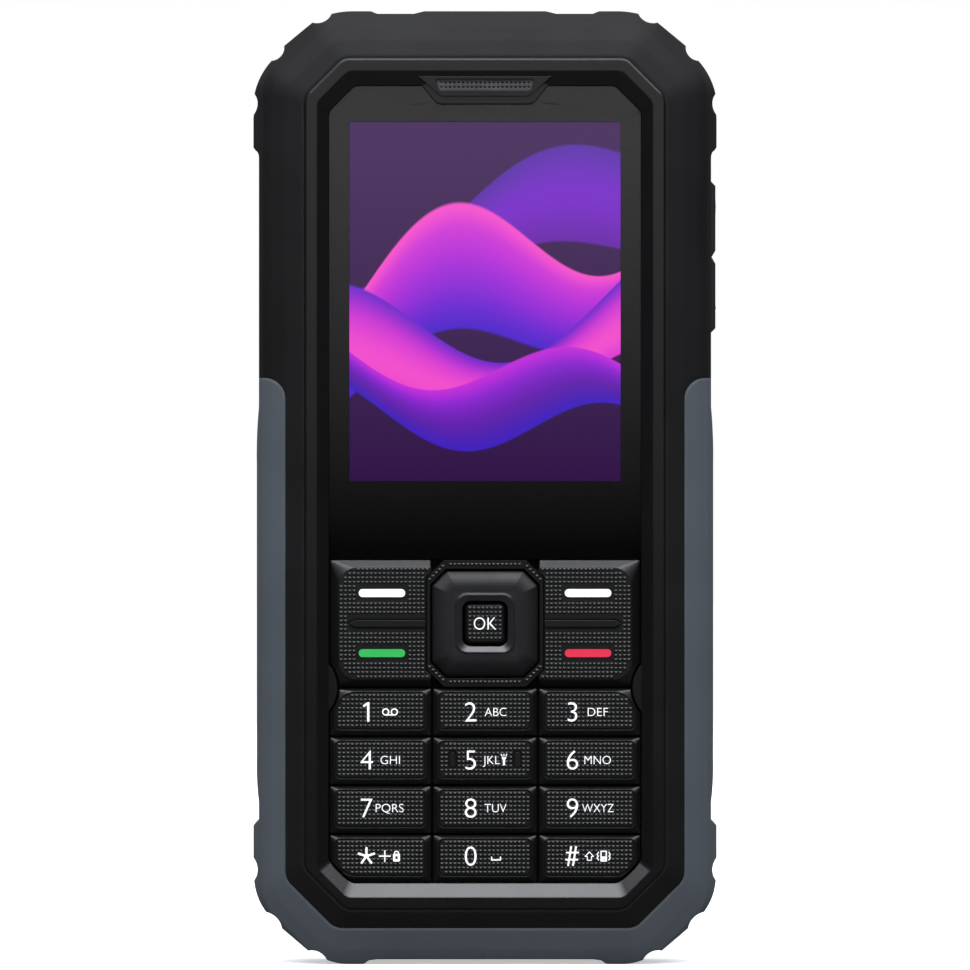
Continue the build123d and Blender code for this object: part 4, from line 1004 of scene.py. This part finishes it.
def lettering(shaper, text, centre_x, centre_z, height, width=None, front=ink_front, back=ink_back):
    """Text with capitals of a given height, centred on a place."""
    mesh = flat_text(text, print_thinner)
    left, right = reach(mesh, 0)
    tall = height / (capital_high - capital_low)
    wide = tall if width is None else width / (right - left)
    centred = Matrix.Translation((-(left + right) / 2, -(capital_low + capital_high) / 2, 0))
    sized = Matrix.Diagonal((wide, tall, back - front, 1))
    placed = Matrix.Translation((centre_x, (front + back) / 2, centre_z))
    mesh.transform(placed @ face_front @ sized @ centred)
    shaper.from_mesh(mesh)
    bpy.data.meshes.remove(mesh)


print("a capital fills", round(capital_high - capital_low, 3), "of the font's own size")

# %% [markdown]
# ## Strokes, rings and plates
#
# The small signs are drawn with four shapes: lines of flat bars with round joints, bars with round ends,
# rings that are a small rectangle spun round a centre, and flat plates. Curves with a thickness could
# draw them too, but these few shapes stay light and closed. Where bars cross, each stands a hair lower
# than the last, since two fronts in one plane would flicker.

# %% Lines and bars with round ends
joint_step = 0.008 * MM
joint_sides = 12
pill_sides = 40


def stroke(shaper, points, width, front=ink_front, closed=False):
    """Line of flat bars with round joints. Each bar stands a hair lower than the last, so no fronts meet."""
    line = list(points) + [points[0]] * closed
    for number, (x, z) in enumerate(points):
        deep = ink_back - front - (2 * number + 1) * joint_step / 2
        at = Matrix.Translation((x, ink_back - deep / 2, z))
        bmesh.ops.create_cone(shaper, cap_ends=True, segments=joint_sides, radius1=width / 2,
                              radius2=width / 2, depth=deep, matrix=at @ face_front)
    for number, ((x, z), (next_x, next_z)) in enumerate(zip(line, line[1:])):
        deep = ink_back - front - number * joint_step
        long = math.hypot(next_x - x, next_z - z)
        turn = Matrix.Rotation(-math.atan2(next_z - z, next_x - x), 4, "Y")
        at = Matrix.Translation(((x + next_x) / 2, ink_back - deep / 2, (z + next_z) / 2))
        bmesh.ops.create_cube(shaper, size=1, matrix=at @ turn @ Matrix.Diagonal((long, deep, width, 1)))


def pill(shaper, left, right, z, half, front, back):
    """Bar with round ends: a disc whose halves are drawn apart."""
    middle_x = (left + right) / 2
    at = Matrix.Translation((middle_x, (front + back) / 2, z)) @ face_front
    disc = bmesh.ops.create_cone(shaper, cap_ends=True, segments=pill_sides, radius1=half, radius2=half,
                                 depth=back - front, matrix=at)["verts"]
    apart = (right - left) / 2 - half
    for side in (-1, 1):
        moved = [vert for vert in disc if side * (vert.co.x - middle_x) > 0]
        bmesh.ops.translate(shaper, vec=(side * apart, 0, 0), verts=moved)


print("crossing bars step back by", joint_step / MM, "mm")

# %% Rings and plates
hoop_step = 12


def hoop(shaper, x, z, radius, width, turn=360.0):
    """Flat ring or part of one: a small rectangle spun about a centre."""
    made = bmesh.ops.create_grid(shaper, x_segments=1, y_segments=1, size=0.5)["verts"]
    flat = Matrix.Diagonal((width, ink_back - ink_front, 1, 1))
    out = Matrix.Translation((radius, 0, 0))
    at = Matrix.Translation((x, (ink_front + ink_back) / 2, z))
    bmesh.ops.transform(shaper, matrix=at @ out @ flat, verts=made)
    faces = list({face for vert in made for face in vert.link_faces})
    full = turn >= 360
    bmesh.ops.spin(shaper, geom=made + faces, cent=(x, 0, z), axis=(0, -1, 0), angle=math.radians(turn),
                   steps=int(turn / hoop_step), use_merge=full, use_duplicate=False)
    if full:
        bmesh.ops.delete(shaper, geom=faces, context="FACES_ONLY")


def plate(shaper, points, front=ink_front):
    """Flat plate with an outline seen from the front."""
    face = shaper.faces.new([shaper.verts.new((x, ink_back, z)) for x, z in points])
    lifted = bmesh.ops.extrude_face_region(shaper, geom=[face])["geom"]
    moved = [item for item in lifted if isinstance(item, bmesh.types.BMVert)]
    bmesh.ops.translate(shaper, vec=(0, front - ink_back, 0), verts=moved)


def printed(name, shaper, body, colour):
    """Finished sign as a piece with its ink."""
    bmesh.ops.recalc_face_normals(shaper, faces=shaper.faces)
    new_piece(name, shaper, body, "key_plastic", inks[colour])


print("print is", round((ink_back - ink_front) / MM, 3), "mm thick")

# %% [markdown]
# ## Figures that are drawn
#
# The font draws the one as a bare bar, and its star and hash are small, so these three are drawn with
# the shapes above. Every outline is given in millimetres from the middle of its sign.

# %% Drawn figures
star_arms = 5


def around(x, z, outline):
    """Outline in millimetres, moved to a place."""
    return [(x + across * MM, z + up * MM) for across, up in outline]


def figure_one(shaper, x, z):
    """Digit one with a flag."""
    plate(shaper, around(x, z, ((0.15, 1.32), (-0.09, 1.32), (-0.74, 0.9), (-0.62, 0.64), (-0.16, 0.94),
                                (-0.16, -1.32), (0.15, -1.32))))


def hash_sign(shaper, x, z):
    """Leaning hash sign: two uprights and two bars, shifted as the uprights lean."""
    for side in (-1, 1):
        stroke(shaper, around(x, z, ((side * 0.33 - 0.2, -1.24), (side * 0.33 + 0.2, 1.24))), 0.25 * MM)
        level, shift = side * 0.48, side * 0.06
        stroke(shaper, around(x, z, ((shift - 0.78, level), (shift + 0.78, level))), 0.23 * MM,
               front=ink_front + 3 * joint_step)


def star_sign(shaper, x, z):
    """Five-armed star of bars."""
    arm_length = 1.1 * MM
    for arm in range(star_arms):
        angle = math.radians(90 + arm * 360 / star_arms)
        tip = (x + arm_length * math.cos(angle), z + arm_length * math.sin(angle))
        stroke(shaper, [tip, (x, z)], 0.3 * MM, front=ink_front + arm * joint_step / 2)


print("drawn figures: one, hash and star")

# %% [markdown]
# ## Small signs
#
# Beside their digit some keys carry a sign for what a long press does: voicemail, torch, lock, shift and
# the silent alarm. Pictures on a plane would blur close up, so they are drawn too, as plain as print of
# this size is.

# %% Signs for voicemail, torch, plus and space
fine_line = 0.17 * MM


def voicemail(shaper, x, z):
    """Two reels and the tape under them."""
    reel, apart = 0.41 * MM, 0.59 * MM
    for side in (-1, 1):
        hoop(shaper, x + side * apart, z, reel, fine_line)
    stroke(shaper, [(x - apart, z - reel), (x + apart, z - reel)], fine_line, front=ink_front + joint_step)


def torch_sign(shaper, x, z):
    """Torch with three rays."""
    plate(shaper, around(x, z, ((-0.34, 0.36), (-0.15, 0.02), (-0.15, -0.73), (0.15, -0.73), (0.15, 0.02),
                                (0.34, 0.36))))
    for side in (-1, 0, 1):
        stroke(shaper, around(x, z, ((side * 0.24, 0.52), (side * 0.4, 0.78))), 0.12 * MM)


def plus_sign(shaper, x, z):
    """Thin plus."""
    arm = 0.74 * MM
    stroke(shaper, [(x - arm, z), (x + arm, z)], fine_line)
    stroke(shaper, [(x, z - arm), (x, z + arm)], fine_line, front=ink_front + 2 * joint_step)


def space_sign(shaper, x, z):
    """Open tray that stands for a space."""
    stroke(shaper, around(x, z, ((-0.6, -0.16), (-0.6, -0.52), (0.6, -0.52), (0.6, -0.16))), fine_line)


print("signs for voicemail, torch, plus and space")

# %% Signs for lock, shift and silent alarm
def lock_sign(shaper, x, z):
    """Padlock with its shackle."""
    bow, bow_line, body_line = 0.29 * MM, 0.15 * MM, 0.32 * MM
    body_top = z + 0.16 * MM
    bow_centre = body_top + 0.2 * MM
    stroke(shaper, around(x, z, ((-0.315, -0.58), (0.315, -0.58), (0.315, 0.16), (-0.315, 0.16))), body_line,
           closed=True)
    hoop(shaper, x, bow_centre, bow, bow_line, turn=180.0)
    for side in (-1, 1):
        stroke(shaper, [(x + side * bow, body_top), (x + side * bow, bow_centre)], bow_line,
               front=ink_front + 6 * joint_step)


def shift_sign(shaper, x, z):
    """Outline of an arrow that points up."""
    stroke(shaper, around(x, z, ((0, 0.58), (0.57, -0.04), (0.28, -0.04), (0.28, -0.56), (-0.28, -0.56),
                                 (-0.28, -0.04), (-0.57, -0.04))), 0.12 * MM, closed=True)


def shake_sign(shaper, x, z):
    """Small phone that shakes."""
    stroke(shaper, around(x, z, ((-0.36, -0.66), (0.36, -0.66), (0.36, 0.66), (-0.36, 0.66))), fine_line,
           closed=True)
    plate(shaper, around(x, z, ((-0.36, -0.66), (0.36, -0.66), (0.36, -0.05), (-0.36, -0.05))),
          front=ink_front + 8 * joint_step)
    for side in (-1, 1):
        wave_line = [(side * out, up) for out, up in
                     ((0.7, 0.52), (0.9, 0.22), (0.72, 0), (0.9, -0.22), (0.7, -0.52))]
        stroke(shaper, around(x, z, wave_line), 0.14 * MM)


print("signs for lock, shift and silent alarm")

# %% [markdown]
# ## Print on the number keys
#
# Digits stand in three columns, one for each column of keys, and each row of keys has one print line. A
# table gives the letters of a key with their middle and width, another the signs with their middle, all
# in millimetres: the layout is then easy to compare with a ruler. Digit, letters and signs of a key
# become one piece, since they move as one.

# %% Print the number keys
digit_height = 2.64 * MM
letter_height = 1.14 * MM
digit_columns = (-16.1 * MM, -1.95 * MM, 11.9 * MM)
first_row = 34.42 * MM
row_step = 6.54 * MM
letters = {
    "2": ("ABC", 1.44, 2.95), "3": ("DEF", 15.35, 2.75), "4": ("GHI", -12.9, 2.65), "5": ("JKL", 0.86, 2.3),
    "6": ("MNO", 15.33, 3.6), "7": ("PQRS", -12.97, 3.8), "8": ("TUV", 1.42, 3.0), "9": ("WXYZ", 15.37, 4.3),
}
small_signs = {
    "1": ((voicemail, -12.92),),
    "5": ((torch_sign, 2.58),),
    "star": ((plus_sign, -13.63), (lock_sign, -12.04)),
    "0": ((space_sign, 1.51),),
    "hash": ((shift_sign, 14.2), (shake_sign, 16.15)),
}
drawn_signs = {"1": (figure_one, 0.22), "star": (star_sign, -0.03), "hash": (hash_sign, -0.05)}

for row, signs in enumerate(key_rows):
    for column, sign in enumerate(signs):
        sheet = bmesh.new()
        level = first_row - row * row_step
        if sign in drawn_signs:
            draw, aside = drawn_signs[sign]
            draw(sheet, digit_columns[column] + aside * MM, level)
        else:
            lettering(sheet, sign, digit_columns[column], level, digit_height)
        if sign in letters:
            word, centre, width = letters[sign]
            lettering(sheet, word, centre * MM, level, letter_height, width * MM)
        for draw, centre in small_signs.get(sign, ()):
            draw(sheet, centre * MM, level)
        printed("print_" + sign, sheet, "button_" + sign, "white")
print("number keys printed:", sum(len(signs) for signs in key_rows))

# %% [markdown]
# ## Print on the middle key and the function keys
#
# The middle key says OK. The function keys have a white bar above the rib, and below it a green one on
# the left and a red one on the right. Their ends are round, so a bar is a disc drawn apart.

# %% Print the middle key and the bars of the function keys
ok_height = 1.68 * MM
ok_width = 3.05 * MM
sheet = bmesh.new()
lettering(sheet, "OK", 0, nav_z, ok_height, ok_width,
          front=ok_low.y - knurl_height - print_gap, back=ok_low.y + print_gap)
printed("print_ok", sheet, "ok_button", "white")

bar_proud = 0.12 * MM
bar_colours = {("left", 0): "white", ("left", 1): "green", ("right", 0): "white", ("right", 1): "red"}
for (side_name, level), colour in bar_colours.items():
    side = -1 if side_name == "left" else 1
    sheet = bmesh.new()
    left, right = sorted((side * bar_left, side * bar_right))
    pill(sheet, left, right, bar_heights[level], bar_half, key_top - bar_proud, ink_back)
    printed("bar_" + side_name + "_" + colour, sheet, side_name + "_function_rocker", colour)
print("bars:", len(bar_colours))

# %% [markdown]
# ## Behind the camera window
#
# Through the smoky window one sees the camera: a ring of black print, two fine steps that lead inwards,
# and a coated lens that shines blue and violet. The steps are one outline spun about the lens's axis.
# The lens is the cap of a ball, flattened. Its coating is thickest in the middle, so its colour turns from
# blue there to violet at the edge.

# %% Camera rings
window_low, window_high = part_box("camera_window")
window_middle = (window_low + window_high) / 2
camera_centre = Vector((window_middle.x, window_low.y, window_middle.z))
ring_steps = 72
ring_outline = ((4.1, 0.02), (4.1, 0.1), (2.6, 0.1), (2.35, 0.16), (2.2, 0.16), (2.1, 0.08), (1.75, 0.08),
                (1.7, 0.14), (1.5, 0.14), (1.45, 0.02))

shaper = bmesh.new()
points = [shaper.verts.new(camera_centre + Vector((radius * MM, depth * MM, 0)))
          for radius, depth in ring_outline]
edges = [shaper.edges.new(pair) for pair in zip(points, points[1:] + points[:1])]
bmesh.ops.spin(shaper, geom=points + edges, cent=camera_centre, axis=(0, 1, 0), angle=math.radians(360),
               steps=ring_steps, use_merge=True, use_duplicate=False)
bmesh.ops.recalc_face_normals(shaper, faces=shaper.faces)
new_piece("camera_rings", shaper, "phone", "component_black")

# %% Coated lens
lens_radius = 1.46 * MM
lens_rise = 0.2 * MM
lens_seat = 0.02 * MM
blue_share = 0.4
cloud_share = 0.4
lens_steps = 48
cut_weld = 0.00001 * MM


def coated_lens():
    """Dark lens whose coating turns from blue in the middle to violet at its edge."""
    material, tree, output = new_finish("lens_coating")
    place = own_place(tree)
    cloud = noise(tree, place, cloud_size)
    outward = add(tree, "VectorMath", {0: place, 1: camera_centre}, operation="DISTANCE").outputs["Value"]
    towards_edge = add(tree, "MapRange", {0: outward, 1: blue_share * lens_radius, 2: lens_radius}).outputs[0]
    coat = blend_colours(tree, towards_edge, shade(22, 30, 78), shade(84, 30, 96))
    colour = blend_colours(tree, reckon(tree, "MULTIPLY", cloud, cloud_share), coat, shade(8, 10, 20))
    shader = add(tree, "BsdfPrincipled", {"Base Color": colour, "Roughness": 0.06})
    shader.inputs["Coat Weight"].default_value = 1.0
    close_finish(tree, output, shader.outputs[0])
    return material


shaper = bmesh.new()
flatten = Matrix.Diagonal((lens_radius, lens_rise, lens_radius, 1))
lens_place = Matrix.Translation(camera_centre + Vector((0, lens_seat, 0)))
bmesh.ops.create_uvsphere(shaper, u_segments=lens_steps, v_segments=lens_steps // 2, radius=1,
                          matrix=lens_place @ flatten)
ball = list(shaper.verts) + list(shaper.edges) + list(shaper.faces)
bmesh.ops.bisect_plane(shaper, geom=ball, plane_co=lens_place.translation, plane_no=(0, 1, 0),
                       clear_inner=True, dist=cut_weld)
bmesh.ops.holes_fill(shaper, edges=shaper.edges, sides=0)
bmesh.ops.recalc_face_normals(shaper, faces=shaper.faces)
new_piece("camera_lens", shaper, "phone", "camera_glass", coated_lens())

# %% [markdown]
# ## Marks on the volume rocker
#
# The rocker at the side is marked with a raised plus and minus, moulded with it. They are small bars with
# a soft edge that stand a little proud, so they read as shapes and not as paint. The helper serves
# for the contacts and signs below as well.

# %% Small bars with soft edges
def soft_bar(shaper, centre, size, edge):
    """Block with its edges bevelled, given by its centre and its size."""
    block = Matrix.Translation(centre) @ Matrix.Diagonal((*size, 1))
    made = bmesh.ops.create_cube(shaper, size=1, matrix=block)
    edges = list({side for vert in made["verts"] for side in vert.link_edges})
    bmesh.ops.bevel(shaper, geom=edges, offset=edge, segments=2, profile=0.5, affect="EDGES", material=-1)


rocker_low, rocker_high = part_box("volume_rocker")
rocker_y = (rocker_low.y + rocker_high.y) / 2
mark_deep = 0.16 * MM
mark_long = 1.8 * MM
mark_width = 0.34 * MM
mark_inset = 3.6 * MM
mark_edge = 0.03 * MM
cross_share = 0.96
shaper = bmesh.new()
for level, upright in ((rocker_high.z - mark_inset, True), (rocker_low.z + mark_inset, False)):
    centre = Vector((rocker_high.x, rocker_y, level))
    soft_bar(shaper, centre, (mark_deep, mark_long, mark_width), mark_edge)
    if upright:
        soft_bar(shaper, centre, (mark_deep * cross_share, mark_width, mark_long), mark_edge)
new_piece("volume_marks", shaper, "rocker", "rocker_plastic")
print("volume marks stand", round(mark_deep / 2 / MM, 2), "mm proud")

# %% [markdown]
# ## Inside the charging well
#
# With the flap open one looks into the charging socket. Gold fingers lie on both sides of its tongue,
# and a rubber seal goes round its mouth. A ring cut to the mouth would do, but four bars that overlap
# look the same and are easier to fit: the front one is longest, since it also hides the edge of the
# circuit board.

# %% Fingers of the charging socket
socket_low, socket_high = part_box("usb_socket")
socket_y = (socket_low.y + socket_high.y) / 2
socket_z = (socket_low.z + socket_high.z) / 2
finger_count = 12
finger_pitch = 0.5 * MM
tongue_half = 0.35 * MM
finger_inset = 1.2 * MM
finger_size = Vector((3.6, 0.06, 0.28)) * MM
finger_edge = 0.01 * MM
finger_x = socket_low.x + finger_inset + finger_size.x / 2
shaper = bmesh.new()
for side in (-1, 1):
    for finger in range(finger_count):
        level = socket_z + (finger - (finger_count - 1) / 2) * finger_pitch
        soft_bar(shaper, Vector((finger_x, socket_y + side * tongue_half, level)), finger_size, finger_edge)
new_piece("socket_fingers", shaper, "phone", "contact_metal")
print("fingers:", 2 * finger_count)

# %% Seal round the charging socket
board_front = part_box("main_board")[0].y
seal_deep = 0.4 * MM
seal_sunk = 0.05 * MM
seal_lip = 0.1 * MM
seal_wide = 0.27 * MM
seal_past = 1.1 * MM
end_share = 0.9
seal_x = socket_low.x + seal_sunk - seal_deep / 2
back = (socket_high.y - seal_lip, socket_high.y + seal_wide)
across = (board_front + seal_sunk, back[1] - seal_sunk)
tall = (socket_low.z - seal_wide, socket_high.z + seal_wide)
over_board = (socket_low.z - seal_past, socket_high.z + seal_past)
shaper = bmesh.new()
for (y_from, y_to), (z_from, z_to), share in (
        ((board_front + seal_sunk / 2, socket_low.y + seal_lip), over_board, 1.0),
        (back, tall, 1.0),
        (across, (tall[0], socket_low.z + seal_lip), end_share),
        (across, (socket_high.z - seal_lip, tall[1]), end_share)):
    centre = Vector((seal_x, (y_from + y_to) / 2, (z_from + z_to) / 2))
    soft_bar(shaper, centre, (share * seal_deep, y_to - y_from, z_to - z_from), mark_edge)
new_piece("socket_seal", shaper, "phone", "black_rubber")
print("the seal goes", round(seal_past / MM, 1), "mm past the socket")

# %% [markdown]
# ## Signs on the battery
#
# Under the cover the battery says which pole is which, in white print beside its contacts. The bars
# with a soft edge serve once more, sunk halfway into the battery, so no gap shows under them.

# %% Pole signs
battery_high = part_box("battery")[1]
pole_size = 1.6 * MM
pole_width = 0.3 * MM
pole_apart = 2.8 * MM
pole_drop = 3.0 * MM
pole_deep = 0.12 * MM
pole_cross_share = 0.95
shaper = bmesh.new()
for side, upright in ((-1, True), (1, False)):
    centre = Vector((side * pole_apart, battery_high.y, battery_high.z - pole_drop))
    soft_bar(shaper, centre, (pole_size, pole_deep, pole_width), mark_edge / 2)
    if upright:
        soft_bar(shaper, centre, (pole_width, pole_deep * pole_cross_share, pole_size), mark_edge / 2)
# The poles take the glowing white ink of the keys, so they give off a faint painted glow, though no lamp lies
# under them.
new_piece("battery_poles", shaper, "phone", "battery_wrap", inks["white"])
print("pole signs stand", round(pole_deep / 2 / MM, 2), "mm proud")

# %% [markdown]
# ## Last line

# %% Last line
import json
